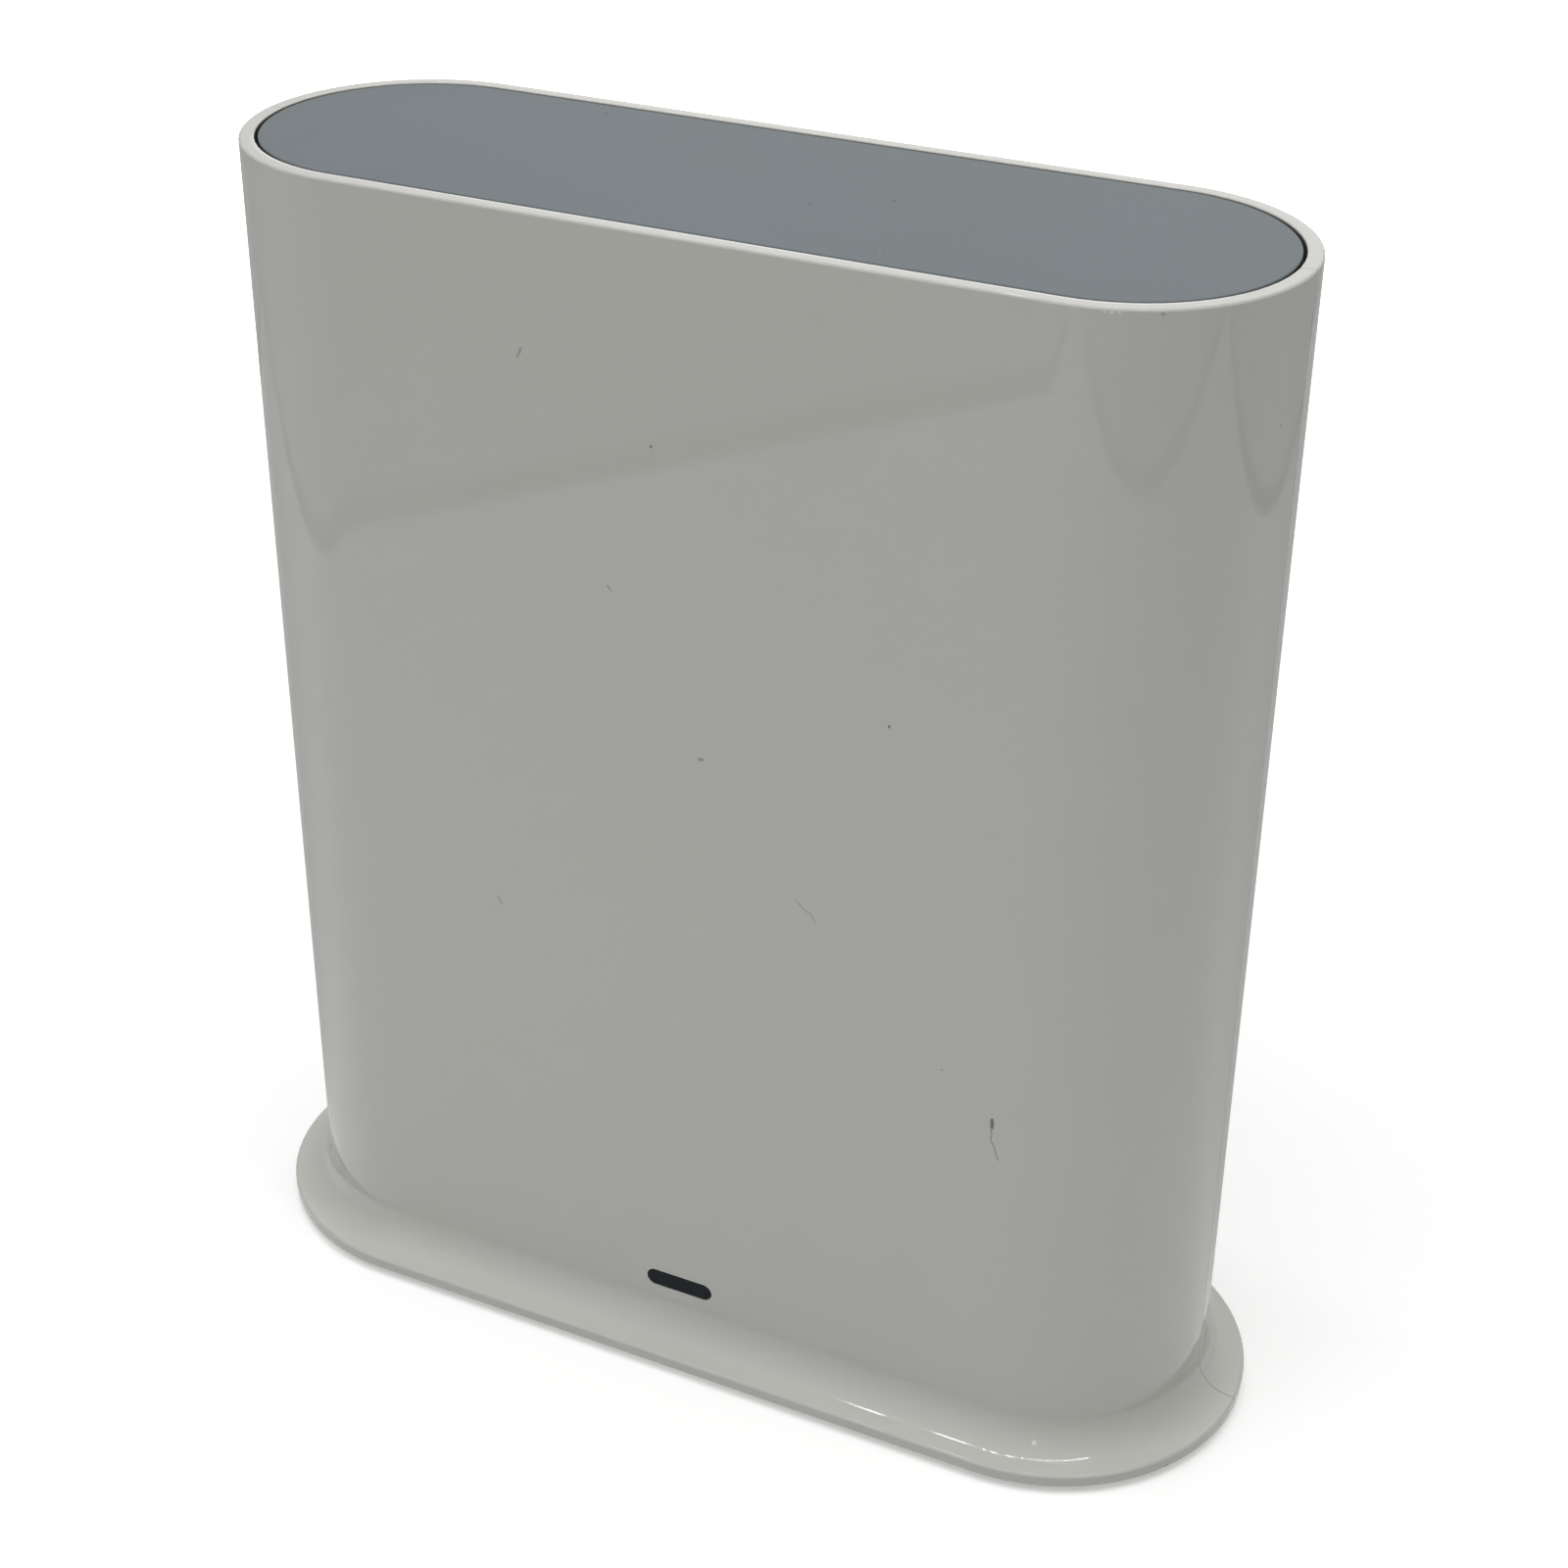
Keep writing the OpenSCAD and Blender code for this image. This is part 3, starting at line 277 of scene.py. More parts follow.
# Circuit board: patches, tracks and plated holes per metre, their edges, and the random values
# above which a patch's tracks turn or slant and a hole is kept
MASK_GREEN = (0.010, 0.070, 0.034)
TRACK_GREEN = (0.022, 0.135, 0.060)
HOLE_GOLD = (0.62, 0.50, 0.25)
PATCH_SCALE, PATCH_EDGE = 95.0, (0.04, 0.07)
TURNED_ABOVE, SLANTED_ABOVE = 0.5, 0.72
TRACKS_PER_METRE, TRACK_EDGE, TRACK_HEIGHT = 1250.0, (0.17, 0.23), 1.2e-5
HOLE_SCALE, HOLE_EDGE, HOLE_ABOVE = 520.0, (0.16, 0.20), 0.86
MASK_ROUGH, MASK_GRAIN_SCALE, MASK_GRAIN_ROUGH = 0.30, 900.0, 0.10


def shaded(colour, share):
    """A colour made darker or paler by a share."""
    return tuple(min(1.0, channel * share) for channel in colour)


def stroke_mask(finish, place, start, end, half_width):
    """1 along a stroke between two points of the front wall, 0 away from it."""
    start, end = (Vector((across, 0.0, up)) * MM for across, up in (start, end))
    run = end - start
    off = finish.add("VectorMath", {"operation": "SUBTRACT"}, {0: place, 1: start})
    along = finish.add("VectorMath", {"operation": "DOT_PRODUCT"},
                       {0: off, 1: run / run.length_squared}, "Value")
    along = along.top(0.0).least(1.0)
    nearest = finish.add("VectorMath", {"operation": "SCALE"}, {0: run, "Scale": along})
    gap = finish.add("VectorMath", {"operation": "DISTANCE"}, {0: off, 1: nearest}, "Value")
    return gap.ramp(*(half_width * MM * share for share in STROKE_EDGE), 1.0, 0.0)


def round_end(turn, distance, height):
    """A place on the right end, in mm, from its angle round from the front."""
    turn = math.radians(turn)
    return BODY_HALF + distance * math.sin(turn), -distance * math.cos(turn), height


def speck_mask(finish, place, centre, radius, depth=1.0):
    """1 at a speck, 0 away from it; depth is its length front to back against its width."""
    off = finish.add("VectorMath", {"operation": "SUBTRACT"}, {0: place, 1: Vector(centre) * MM})
    off = finish.add("VectorMath", {"operation": "MULTIPLY"}, {0: off, 1: (1.0, 1.0 / depth, 1.0)})
    gap = finish.add("VectorMath", {"operation": "LENGTH"}, {0: off}, "Value")
    return gap.ramp(*(radius * MM * share for share in SPECK_EDGE), 1.0, 0.0)


def strongest(masks):
    """The largest of several masks."""
    result = None
    for mask in masks:
        result = mask if result is None else result.top(mask)
    return result


def wandering(finish, reach):
    """Object coordinates that waver by up to reach, so that drawn marks have ragged edges."""
    waver = finish.add("TexNoise", sockets={
        "Vector": finish.place, "Scale": WAVER_SCALE, "Detail": 2.0}, out="Color")
    waver = finish.add("VectorMath", {"operation": "SUBTRACT"}, {0: waver, 1: (0.5, 0.5, 0.5)})
    waver = finish.add("VectorMath", {"operation": "SCALE"}, {0: waver, "Scale": reach})
    return finish.add("VectorMath", {"operation": "ADD"}, {0: finish.place, 1: waver})


def dust(finish, scale, edge):
    """Round grains of dust, or holes, and random values by which some of them are kept."""
    grains = finish.cells(scale).ramp(*edge, 1.0, 0.0)
    return grains, finish.axes(finish.cells(scale, out="Color"))


def gloss_white(name, marked):
    """Gloss moulded white: faint orange peel, smears on the gloss, fine dust and marks of use, with a
    painted glint on the flange, painted shade in the gap under the rim and a painted highlight
    along the rim's inner edge.
    """
    finish = Finish(name, SHELL_WHITE, SHELL_GLOSS)
    across, deep, up = finish.axes()
    smear = finish.noise(SMEAR_SCALE, 4.0, 0.62).ramp(*SMEAR_SPREAD)
    grain = finish.noise(GRAIN_SCALE)
    tinge = finish.noise(TINGE_SCALE).ramp(*CLOUD_SPREAD)
    colour = finish.tint(tinge, SHELL_WHITE, SHELL_TINGE)
    grains, lot = dust(finish, SHELL_DUST_SCALE, SHELL_DUST_GRAIN)
    dull = grains * (lot[0] > SHELL_DUST_ABOVE) * SHELL_DUST_SHARE
    if marked:
        ragged = wandering(finish, SHELL_WAVER * MM)
        flat = finish.add("VectorMath", {"operation": "MULTIPLY"}, {0: ragged, 1: (1.0, 0.0, 1.0)})
        marks = strongest(stroke_mask(finish, flat, start, end, half_width) * dark
                          for points, half_width, dark in FRONT_MARKS.values()
                          for start, end in zip(points, points[1:]))
        worn = finish.noise(WORN_SCALE).ramp(*WORN_SPREAD, *WORN_SHARE)
        marks = marks * (deep < FRONT_WALL * MM) * worn
        specks, nicks_and_glint = (strongest(speck_mask(finish, ragged, round_end(*place), radius) * strength
                                   for *place, radius, strength in spots.values())
                         for spots in (END_SPECKS, END_NICKS_AND_GLINT))
        dull = dull.top(marks).top(specks)
        # Pale nicks, and the painted glint on the flange
        colour = finish.tint(nicks_and_glint, colour, NICK_AND_GLINT_WHITE)
    beyond = (abs(across) - BODY_HALF * MM).top(0.0)
    from_axis = (beyond * beyond + deep * deep) ** 0.5
    # Painted shade: the inside of the wall is darkened in the gap between the rim and the cover
    gap_shade = from_axis.ramp(INSIDE_WALL * MM, (INSIDE_WALL + GAP_SHADE_FADE) * MM, 1.0, 0.0)
    gap_shade = gap_shade * up.ramp(*((RIM_TOP - below) * MM for below in GAP_SHADE_BELOW_RIM), 1.0, 0.0)
    colour = finish.tint(gap_shade, colour, GAP_SHADE)
    # Painted highlight: a pale line along the rim's inner edge, towards the front
    rim_highlight = from_axis.ramp(*((INSIDE_WALL + reach) * MM for reach in RIM_HIGHLIGHT_FADE), 1.0, 0.0)
    rim_highlight = rim_highlight * up.ramp(*((RIM_TOP - below) * MM for below in RIM_HIGHLIGHT_BELOW_RIM))
    rim_highlight = rim_highlight * deep.ramp(*(depth * MM for depth in RIM_HIGHLIGHT_DEPTH), 1.0, 0.0)
    colour = finish.tint(rim_highlight * RIM_HIGHLIGHT_SHARE, colour, RIM_HIGHLIGHT_WHITE)
    finish.feed("Base Color", finish.tint(dull, colour, GRIME))
    gloss = SHELL_GLOSS + smear * SMEAR_ROUGH + grain * GRAIN_ROUGH
    finish.feed("Roughness", gloss.top(dull * GRIME_ROUGH).top(gap_shade * INSIDE_ROUGH))
    peel = finish.bump(finish.noise(PEEL_SCALE, 1.5), PEEL_HEIGHT)
    peel = finish.bump(finish.noise(FINE_PEEL_SCALE), FINE_PEEL_HEIGHT, peel)
    chatter = finish.noise(1.0, place=finish.stretched(*CHATTER_SCALE))
    chatter = chatter * up.ramp(*(height * MM for height in SWEEP_TOP), 1.0, 0.0)
    finish.feed("Normal", finish.bump(chatter, CHATTER_HEIGHT, peel))
    return finish.material


def satin_grey(name, base, specks=None):
    """Satin moulded grey with a fine spark-eroded grain and a little dust, and painted shade on the
    side when specks are given.
    """
    finish = Finish(name, base, SATIN, specular_ior_level=0.25)
    grain = finish.noise(SPARK_SCALE, 3.0, 0.6)
    cloud = finish.noise(GREY_CLOUD_SCALE, 3.0).ramp(*CLOUD_SPREAD)
    colour = finish.tint(cloud, shaded(base, GREY_CLOUD_DARK), shaded(base, GREY_CLOUD_PALE))
    sparks = grain.ramp(*SPARK_SPREAD) * SPARK_SHARE
    colour = finish.tint(sparks, colour, shaded(base, SPARK_SHADE))
    grains, lot = dust(finish, COVER_DUST_SCALE, COVER_DUST_GRAIN)
    dark = grains * (lot[0] > DARK_DUST_ABOVE) * DARK_DUST_SHARE
    colour = finish.tint(dark, colour, shaded(base, DARK_DUST_SHADE))
    pale = grains * (lot[1] > PALE_DUST_ABOVE) * PALE_DUST_SHARE
    colour = finish.tint(pale, colour, PALE_DUST)
    if specks:
        ragged = wandering(finish, COVER_WAVER * MM)
        dirt = strongest(
            speck_mask(finish, ragged, (x, y, COVER_TOP), half_width, SPECK_LENGTH) * strength
            for x, y, half_width, strength in specks.values())
        colour = finish.tint(dirt, colour, COVER_DIRT)
        up = finish.axes()[2]
        # Painted shade on the cover's side, below its rounded top edge
        side = up.ramp(*((COVER_TOP - below) * MM for below in SIDE_SHADE_BELOW_TOP), 1.0, 0.0)
        colour = finish.tint(side, colour, COVER_SIDE_SHADE)
    finish.feed("Base Color", colour)
    finish.feed("Roughness", SATIN + grain * SPARK_ROUGH + cloud * GREY_CLOUD_ROUGH)
    finish.feed("Normal", finish.bump(grain, SPARK_HEIGHT))
    return finish.material


def plain_plastic(name, colour, roughness, grain_scale, grain_height, **constants):
    """A moulded plastic: slight clouding, moulded grain and a little variation of gloss."""
    finish = Finish(name, colour, roughness, **constants)
    cloud = finish.noise(CLOUD_SCALE, 3.0).ramp(*CLOUD_SPREAD)
    grain = finish.noise(grain_scale, 3.0, 0.6)
    dark, pale = shaded(colour, CLOUD_DARK), shaded(colour, CLOUD_PALE)
    finish.feed("Base Color", finish.tint(cloud, dark, pale))
    even, varied = (roughness * share for share in PLASTIC_ROUGH)
    finish.feed("Roughness", even + grain * varied)
    finish.feed("Normal", finish.bump(grain, grain_height))
    return finish.material


def metal(name, colour, roughness, along=(1.0, 1.0, 1.0)):
    """A plated or rolled metal: fine lay along one way and stains."""
    finish = Finish(name, colour, roughness, metallic=1.0)
    lay = finish.noise(LAY_SCALE, 2.0, 0.6, finish.stretched(*along))
    stain = finish.noise(STAIN_SCALE, 3.0).ramp(*STAIN_SPREAD)
    finish.feed("Base Color", finish.tint(stain, colour, shaded(colour, STAIN_SHADE)))
    even, varied = (roughness * share for share in METAL_ROUGH)
    finish.feed("Roughness", even + lay * varied + stain * STAIN_ROUGH)
    finish.feed("Normal", finish.bump(lay, LAY_HEIGHT))
    return finish.material


def circuit_board(name):
    """Green solder mask over copper: tracks that turn from patch to patch, and plated holes."""
    finish = Finish(name, MASK_GREEN, MASK_ROUGH)
    across, _, up = finish.axes()
    patch = finish.axes(finish.cells(PATCH_SCALE, out="Color"))
    turned = patch[0] > TURNED_ABOVE
    slanted = patch[1] > SLANTED_ABOVE
    straight = across * (1.0 - turned) + up * turned
    run = straight * (1.0 - slanted) + (across + up) * math.sqrt(0.5) * slanted
    line = abs((run * TRACKS_PER_METRE).fraction() - 0.5)
    border = finish.cells(PATCH_SCALE, "DISTANCE_TO_EDGE").ramp(*PATCH_EDGE)
    track = line.ramp(*TRACK_EDGE, 1.0, 0.0) * border
    hole, lot = dust(finish, HOLE_SCALE, HOLE_EDGE)
    hole = hole * (lot[2] > HOLE_ABOVE)
    colour = finish.tint(track, MASK_GREEN, TRACK_GREEN)
    finish.feed("Base Color", finish.tint(hole, colour, HOLE_GOLD))
    finish.feed("Roughness", MASK_ROUGH + finish.noise(MASK_GRAIN_SCALE) * MASK_GRAIN_ROUGH)
    finish.feed("Metallic", hole)
    finish.feed("Normal", finish.bump(track - hole, TRACK_HEIGHT))
    return finish.material


# Each finish by slot, and the front shell's own; a plastic's colour, roughness, grain per metre and
# grain height in metres, a metal's colour, roughness and lay
FINISHES = {
    "front_shell": gloss_white("front gloss white", True),
    "shell": gloss_white("gloss white", False),
    "cover": satin_grey("satin cover grey", COVER_GREY, COVER_SPECKS),
    "panel": satin_grey("satin panel grey", COVER_GREY),
    "base": plain_plastic("textured base white", (0.60, 0.598, 0.580), 0.5, 3200.0, 1.2e-5),
    "rubber": plain_plastic("foot rubber", (0.018, 0.018, 0.019), 0.75, 2600.0, 1.5e-5),
    "screw": metal("zinc plated steel", (0.58, 0.58, 0.60), 0.32),
    "lens": plain_plastic("smoked lens", (0.009, 0.013, 0.017), 0.42, 1500.0, 4e-7,
                          specular_ior_level=0.12),
    "clear": plain_plastic("clear acrylic", (0.92, 0.95, 0.96), 0.06, 1500.0, 3e-7,
                           transmission_weight=1.0, ior=1.49),
    "led": plain_plastic("lamp case white", (0.80, 0.78, 0.62), 0.35, 2500.0, 2e-6),
    "board": circuit_board("solder mask green"),
    "chip": plain_plastic("chip epoxy", (0.018, 0.018, 0.020), 0.55, 5200.0, 5e-6),
    "pad": plain_plastic("thermal pad", (0.28, 0.42, 0.52), 0.8, 1800.0, 2e-5),
    "aluminium": metal("extruded aluminium", (0.70, 0.70, 0.72), 0.36, (1.0, 1.0, 0.05)),
    "shield": metal("tinned sheet", (0.62, 0.62, 0.63), 0.30, (1.0, 0.1, 1.0)),
    "bracket": plain_plastic("natural plastic", (0.66, 0.62, 0.50), 0.45, 2200.0, 4e-6),
    "contact": metal("gold plated contact", (0.80, 0.56, 0.22), 0.24),
    "cable": plain_plastic("cable jacket", (0.016, 0.016, 0.017), 0.45, 3000.0, 3e-6),
    "socket_black": plain_plastic("socket black", (0.016, 0.016, 0.017), 0.42, 3400.0, 4e-6),
    "socket_white": plain_plastic("socket white", (0.62, 0.62, 0.61), 0.38, 3000.0, 3e-6),
    "lamp": plain_plastic("lamp window", (0.34, 0.52, 0.24), 0.22, 2200.0, 2e-6),
    "button": plain_plastic("button white", (0.62, 0.615, 0.600), 0.30, 2600.0, 2e-6),
    "plunger": plain_plastic("ivory plastic", (0.62, 0.56, 0.40), 0.4, 2600.0, 3e-6),
}


# Pieces

SHARP = math.radians(50)
NEARLY_FLAT = math.radians(0.05)
SAME_POINT = 1e-6
FACING = 0.999
SEAM_REACH = 0.06 * MM
SEAM_EDGE = 0.025 * MM
SOLE_REACH = 0.1 * MM
SPRING_STEPS = 8
# Width and height of each ring of the dish and of the groove, in mm
BUTTON_DISH = [(0.50, 0.0), (0.25, -0.10), (0.35, -0.14), (0.55, -0.13), (0.80, -0.08)]
FOOT_GROOVE = [(0.90, 0.0), (0.12, -0.14), (0.35, 0.0), (0.12, 0.14)]
SLOTS = {row["node"]: row["material_slot"] for row in frame["record"]["subparts"]}
BODY_OF = {node: body for body, members in frame["record"]["behaviour"]["bodies"].items()
           for node in members}


def merged_copy(node):
    """A copy of a node's mesh with its loose triangles joined into whole faces."""
    shape = bmesh.new()
    shape.from_mesh(nodes[node].data)
    bmesh.ops.remove_doubles(shape, verts=shape.verts, dist=SAME_POINT)
    bmesh.ops.dissolve_limit(shape, angle_limit=NEARLY_FLAT, verts=shape.verts, edges=shape.edges)
    return shape


def soften(shape, width, keep=lambda edge: True):
    """Rounds a shape's sharp edges by a small width."""
    edges = [edge for edge in shape.edges
             if len(edge.link_faces) == 2 and edge.calc_face_angle() > SHARP and keep(edge)]
    bmesh.ops.bevel(shape, geom=edges, offset=width, offset_type="OFFSET", segments=2, profile=0.5,
                    affect="EDGES", material=-1, clamp_overlap=True)


def at_seam(edge):
    """Whether an edge runs along the parting line between the two shells."""
    return all(abs(corner.co.y) < SEAM_REACH for corner in edge.verts)


def step_in(shape, face, steps):
    """Insets a face ring by ring; each step is a width and a height, in mm."""
    for width, height in steps:
        bmesh.ops.inset_region(shape, faces=[face], thickness=width * MM, depth=height * MM,
                               use_even_offset=True)


def facing(shape, direction):
    """The faces that look along a direction."""
    return [face for face in shape.faces if face.normal.dot(Vector(direction)) > FACING]


def dish_button(shape):
    """A shallow dish for the fingertip in the button's face."""
    shape.faces.ensure_lookup_table()
    outermost = max(facing(shape, (0.0, 1.0, 0.0)), key=lambda face: face.calc_center_median().y)
    step_in(shape, outermost, BUTTON_DISH)


def groove_feet(shape):
    """A ring groove in the sole of each foot."""
    soles = [face for face in facing(shape, (0.0, 0.0, -1.0))
             if face.calc_center_median().z < SOLE_REACH]
    for sole in soles:
        step_in(shape, sole, FOOT_GROOVE)


def leaf_spring(shape, place, reach, rise, width, thickness):
    """Adds a bowed leaf spring to a shape: it runs along the depth and bows upwards."""
    bow = (reach * reach / (8.0 * rise) + rise / 2.0) * MM
    half_turn = math.asin(reach * MM / 2.0 / bow)
    middle = Vector(place) * MM
    centre = middle - Vector((0.0, 0.0, bow - rise * MM))
    ends = [shape.verts.new(middle + Vector((side * width, reach, 0.0)) * MM / 2.0)
            for side in (-1, 1)]
    edge = shape.edges.new(ends)
    bmesh.ops.spin(shape, geom=[*ends, edge], cent=centre, axis=(1.0, 0.0, 0.0), angle=2.0 * half_turn,
                   steps=SPRING_STEPS, use_merge=False)
    leaf = [face for face in shape.faces if not face.tag]
    bmesh.ops.recalc_face_normals(shape, faces=leaf)
    bmesh.ops.solidify(shape, geom=leaf, thickness=thickness * MM)
    for face in shape.faces:
        face.tag = True


def finished(name, shape, finish, body, slot, *replaced):
    """Makes the piece's object, shades it smooth and hangs it on its body."""
    mesh = bpy.data.meshes.new(name)
    shape.to_mesh(mesh)
    shape.free()
    mesh.shade_smooth()
    mesh.set_sharp_from_angle(angle=SHARP)
    mesh.materials.clear()
    mesh.materials.append(finish)
    piece = bpy.data.objects.new(name, mesh)
    bpy.context.scene.collection.objects.link(piece)
    weighted = piece.modifiers.new("even shading", "WEIGHTED_NORMAL")
    weighted.keep_sharp = True
    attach(piece, body)
    if replaced:
        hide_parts(*replaced)


# Width in mm by which each finished piece's sharp edges are rounded
SOFT_EDGES = {
    "front_shell": 0.12, "rear_shell": 0.12, "top_cover": 0.12, "base_plate": 0.15,
    "rubber_feet": 0.1, "base_screws": 0.06, "status_lens": 0.06, "port_panel": 0.12,
    "network_jack_can": 0.08, "network_jack_insert": 0.10, "network_jack_contacts": 0.04,
    "network_jack_lamps": 0.06,
    "storage_port_shell": 0.08, "storage_port_tongue": 0.10, "storage_port_contacts": 0.03,
    "power_jack": 0.12, "power_jack_pin": 0.04, "power_button": 0.1, "sync_button": 0.1,
}

SHAPED = {"power_button": dish_button, "sync_button": dish_button, "rubber_feet": groove_feet}

for node, part in nodes.items():
    slot = SLOTS[node]
    finish = FINISHES.get(node, FINISHES[slot])
    if node in SOFT_EDGES:
        shape = merged_copy(node)
        if node in SHAPED:
            SHAPED[node](shape)
        soften(shape, SEAM_EDGE, at_seam)
        soften(shape, SOFT_EDGES[node] * MM, lambda edge: not at_seam(edge))
        finished(node + "_finished", shape, finish, BODY_OF[node], slot, node)
    else:
        part.data.materials.clear()
        part.data.materials.append(finish)


# Springs inside the sockets: the places of the leaves, and a leaf's length, rise, width and
# thickness, in mm
SOCKET_SPRINGS = {
    "storage_port_springs": ([(-19.6, 10.2, 21.52), (-13.4, 10.2, 21.52)], (5.2, 0.45, 2.2, 0.15)),
    "power_jack_spring": ([(18.0, 9.6, 21.05)], (6.0, 0.45, 1.8, 0.15)),
}
SPRING_SLOT = "shield"

for name, (places, measures) in SOCKET_SPRINGS.items():
    shape = bmesh.new()
    for place in places:
        leaf_spring(shape, place, *measures)
    finished(name, shape, FINISHES[SPRING_SLOT], "case", SPRING_SLOT)


# Floor, light and camera

class Stage(Finish):
    """Materials of the floor and the surroundings, which share the node calls of the finishes."""

    def __init__(self, tree):
        self.tree = tree

    def seen(self):
        """What the camera sees, and what a reflection or clear plastic shows, each 1 or 0."""
        path = self.add("LightPath").socket.node.outputs
        camera, glossy, through = (Value(self, path[name]) for name in
                                   ("Is Camera Ray", "Is Glossy Ray", "Is Transmission Ray"))
        return camera, glossy.top(through)


# The white sheet that the object stands on, turned by some degrees: its edges show in the gloss
FLOOR_HALF = 4.0
PAPER_WHITE = (0.86, 0.86, 0.86)
TABLE_GREY = (0.58, 0.56, 0.53)
BLACK = (0.0, 0.0, 0.0)
WHITE = (1.0, 1.0, 1.0)
SHEET_TURN = 37.5
SHEET_REACH = (0.327, 0.330, 0.273, 0.341)
SHEET_FADE = 0.002
# Past its edge lies a dark band, and then a table with this share of the band's darkness
SHEET_BAND = (0.010, 0.022)
TABLE_SHARE = 0.45
# The sheet's own glow in the gloss
SHEET_GLOW = 0.34
# The floor behind the object is dim in the gloss: its way, the cosines between which it fades, its
# glow, and the share of that lost past the sheet's edge
SHADOW_WAY = (-0.448, 0.894)
SHADOW_SPREAD = (0.0, 0.7)
SHADOW_GLOW = 0.5
SHADOW_BAND = 0.3
# The shadow that the camera sees: its reach in metres, and the share of white left at the foot
CONTACT_REACH = (0.10, 0.45)
CONTACT_WHITE = 0.38
# The room is dimmer on the left in the gloss: the sideways parts of a direction between which it
# fades, and its colour there
DIM_SIDE = (-0.62, -0.44)
DIM_WALL = (0.55, 0.55, 0.56)
# The floor under the foot gives back a little light, so that the underside can be seen
UNDER_REACH = (1.0 / 0.069, 1.0 / 0.026, 0.0)
UNDER_FADE = (0.65, 1.0)
UNDER_LIFT = 0.34


def surroundings():
    """A pale room that the camera and the gloss see, and that lights nothing else."""
    world = bpy.data.worlds.new("pale room")
    bpy.context.scene.world = world
    world.use_nodes = True
    stage = Stage(world.node_tree)
    background = world.node_tree.nodes["Background"]
    camera, mirrored = stage.seen()
    sideways = stage.axes(stage.add("TexCoord", out="Generated"))[0]
    walls = stage.tint(mirrored * sideways.ramp(*DIM_SIDE, 1.0, 0.0), WHITE, DIM_WALL)
    stage.join(background.inputs["Color"], stage.tint(camera.top(mirrored), BLACK, walls))
    background.inputs["Strength"].default_value = 1.0


def pale_floor():
    """The floor: white with a soft shadow to the camera, a sheet on a table in the gloss."""
    shape = bmesh.new()
    bmesh.ops.create_grid(shape, x_segments=1, y_segments=1, size=FLOOR_HALF)
    mesh = bpy.data.meshes.new("floor")
    shape.to_mesh(mesh)
    shape.free()
    floor = bpy.data.objects.new("floor", mesh)
    bpy.context.scene.collection.objects.link(floor)
    material = bpy.data.materials.new("pale floor")
    material.use_nodes = True
    tree = material.node_tree
    tree.nodes.remove(tree.nodes["Principled BSDF"])
    stage = Stage(tree)
    stage.place = stage.add("TexCoord", out="Object")
    across, back = stage.axes()[:2]
    turns = (math.radians(SHEET_TURN + 90.0 * side) for side in range(len(SHEET_REACH)))
    past = strongest(across * math.cos(turn) + back * math.sin(turn) - reach
                     for turn, reach in zip(turns, SHEET_REACH))
    beyond = past.ramp(-SHEET_FADE, SHEET_FADE) * past.ramp(*SHEET_BAND, 1.0, TABLE_SHARE)
    aside = across - across.top(-BODY_HALF * MM).least(BODY_HALF * MM)
    behind = (aside * SHADOW_WAY[0] + back * SHADOW_WAY[1]) / (aside * aside + back * back) ** 0.5
    behind = behind.ramp(*SHADOW_SPREAD)
    away = stage.add("VectorMath", {"operation": "LENGTH"}, {0: stage.place}, "Value")
    clear_of_shadow = away.ramp(*CONTACT_REACH, CONTACT_WHITE, 1.0)
    under = stage.add("VectorMath", {"operation": "MULTIPLY"}, {0: stage.place, 1: UNDER_REACH})
    under = stage.add("VectorMath", {"operation": "LENGTH"}, {0: under}, "Value")
    under = under.ramp(*UNDER_FADE, UNDER_LIFT, 0.0)
    camera, mirrored = stage.seen()
    direct = camera.top(mirrored)
    colour = stage.tint(mirrored * beyond, PAPER_WHITE, TABLE_GREY)
    colour = stage.tint(mirrored * behind, colour, BLACK)
    shadow = mirrored * behind * (1.0 - beyond * SHADOW_BAND)
    paper = stage.add("BsdfDiffuse", sockets={"Color": colour})
    sheet = mirrored * (1.0 - beyond) * (1.0 - behind)
    glow = camera * clear_of_shadow + sheet * SHEET_GLOW + (1.0 - direct) * under
    glow = glow + shadow * SHADOW_GLOW
    lift = stage.add("Emission", sockets={"Color": (*WHITE, 1.0), "Strength": glow})
    both = stage.add("AddShader", sockets={0: paper, 1: lift})
    below = stage.add("NewGeometry", out="Backfacing")
    clear = stage.add("BsdfTransparent")
    out = stage.add("MixShader", sockets={0: below, 1: both, 2: clear})
    tree.links.new(out.socket, tree.nodes["Material Output"].inputs["Surface"])
    mesh.materials.append(material)


# The bar of small lamps overhead that glints in the sweep of the flange
BAR_LAMPS = 15
BAR_PITCH = 0.054
BAR_START = (-0.361, -0.030, 1.30)
BAR_LAMP_SIZE = (0.018, 0.080)
BAR_GLOW = 30.0


def lamp_bar():
    """Hangs the bar; each lamp is turned over to face the floor."""
    shape = bmesh.new()
    for number in range(BAR_LAMPS):
        lamp = bmesh.ops.create_grid(shape, x_segments=1, y_segments=1, size=0.5)["verts"]
        bmesh.ops.scale(shape, verts=lamp, vec=(BAR_LAMP_SIZE[0], -BAR_LAMP_SIZE[1], 1.0))
        along = Vector((number * BAR_PITCH, 0.0, 0.0))
        bmesh.ops.translate(shape, verts=lamp, vec=Vector(BAR_START) + along)
    mesh = bpy.data.meshes.new("lamp_bar")
    shape.to_mesh(mesh)
    shape.free()
    material = bpy.data.materials.new("lamp bar")
    material.use_nodes = True
    tree = material.node_tree
    tree.nodes.remove(tree.nodes["Principled BSDF"])
    glow = Stage(tree).add("Emission", sockets={"Strength": BAR_GLOW})
    tree.links.new(glow.socket, tree.nodes["Material Output"].inputs["Surface"])
    mesh.materials.append(material)
    bar = bpy.data.objects.new("lamp_bar", mesh)
    bpy.context.scene.collection.objects.link(bar)
    bar.visible_camera = False


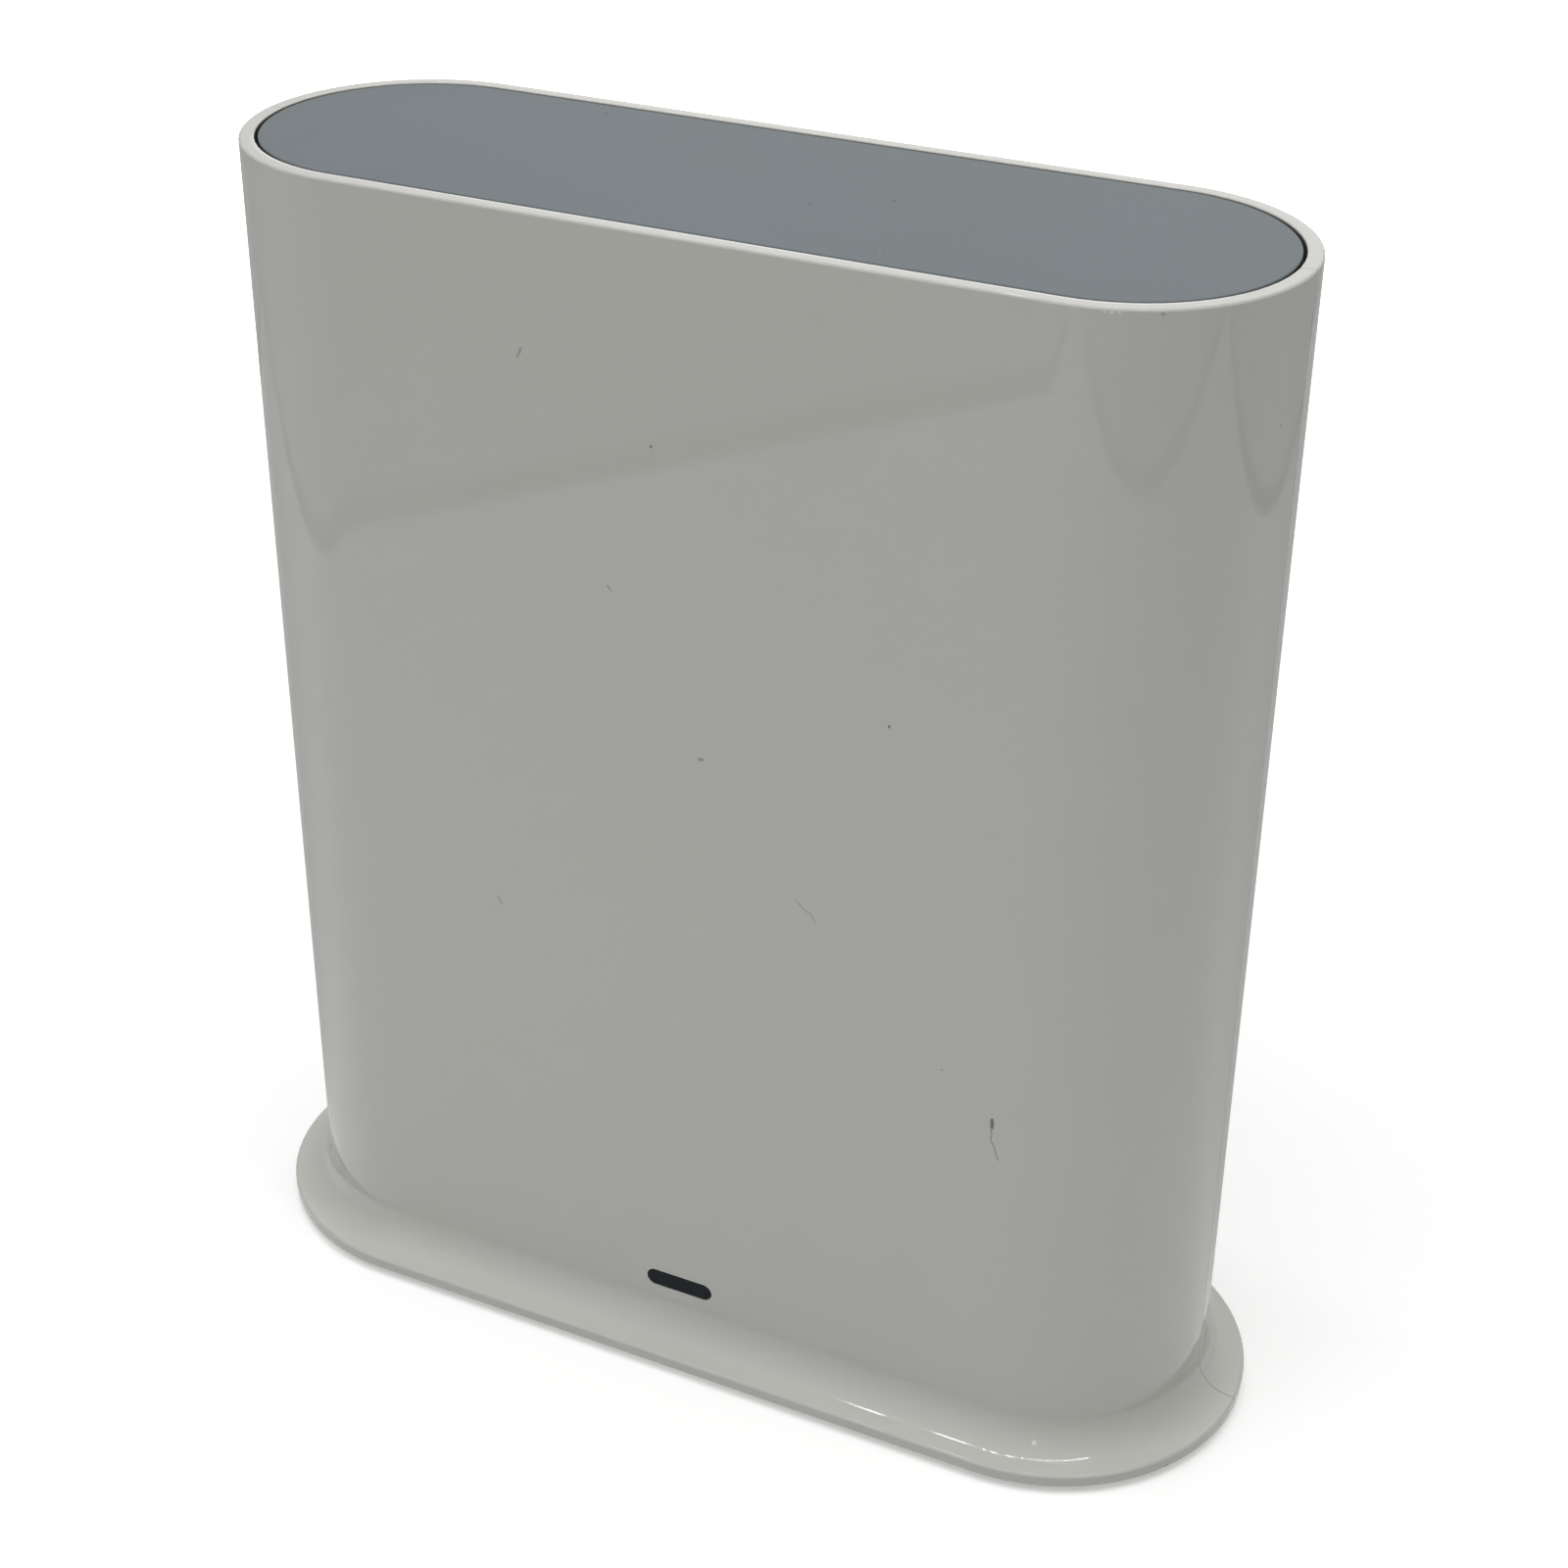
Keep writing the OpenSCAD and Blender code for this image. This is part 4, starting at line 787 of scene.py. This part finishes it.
# Softboxes: place, side in metres, watts, colour; each looks at the middle of the object
LAMP_AIM = (0.0, 0.0, 0.08)
LAMPS = {
    "overhead softbox": ((0.0, 0.0, 2.00), 2.1, 23.5, WHITE),
    "front softbox": ((-0.08, -0.7, 1.20), 0.8, 2.7, (1.0, 1.0, 0.99)),
    "left softbox": ((-0.7, -0.6, 1.10), 0.8, 1.95, (0.98, 0.99, 1.0)),
    "right softbox": ((0.9, 0.0, 1.10), 0.8, 1.25, (1.0, 1.0, 0.92)),
    "back softbox": ((-0.1, 1.1, 0.40), 0.8, 2.4, WHITE),
}


def lamps():
    """Hangs the softboxes, which neither the camera nor the gloss sees."""
    for name, (place, side, watts, colour) in LAMPS.items():
        lamp = bpy.data.lights.new(name, "AREA")
        lamp.shape = "SQUARE"
        lamp.size = side
        lamp.energy = watts
        lamp.color = colour
        holder = bpy.data.objects.new(name, lamp)
        holder.location = place
        towards = Vector(LAMP_AIM) - Vector(place)
        holder.rotation_euler = towards.to_track_quat("-Z", "Y").to_euler()
        holder.visible_camera = False
        holder.visible_glossy = False
        bpy.context.scene.collection.objects.link(holder)


# The camera at the photograph's angle: metres, degrees down and round, mm of lens and sensor
CAMERA_PLACE = (0.1317, -0.2662, 0.2469)
CAMERA_DOWN = 30.33
CAMERA_ROUND = 26.62
CAMERA_LENS = 64.0
CAMERA_SENSOR = 36.0
CAMERA_SHIFT = (0.0296, 0.0074)
CAMERA_NEAR = 0.01


def camera():
    """A camera at the angle that was fitted to the photograph."""
    view = bpy.data.cameras.new("photo view")
    view.sensor_width = CAMERA_SENSOR
    view.lens = CAMERA_LENS
    view.shift_x, view.shift_y = CAMERA_SHIFT
    view.clip_start = CAMERA_NEAR
    holder = bpy.data.objects.new("photo view", view)
    holder.location = CAMERA_PLACE
    holder.rotation_euler = (math.radians(90.0 - CAMERA_DOWN), 0.0, math.radians(CAMERA_ROUND))
    bpy.context.scene.collection.objects.link(holder)
    bpy.context.scene.camera = holder


surroundings()
pale_floor()
lamps()
lamp_bar()
camera()
bpy.context.scene.view_settings.view_transform = "Standard"
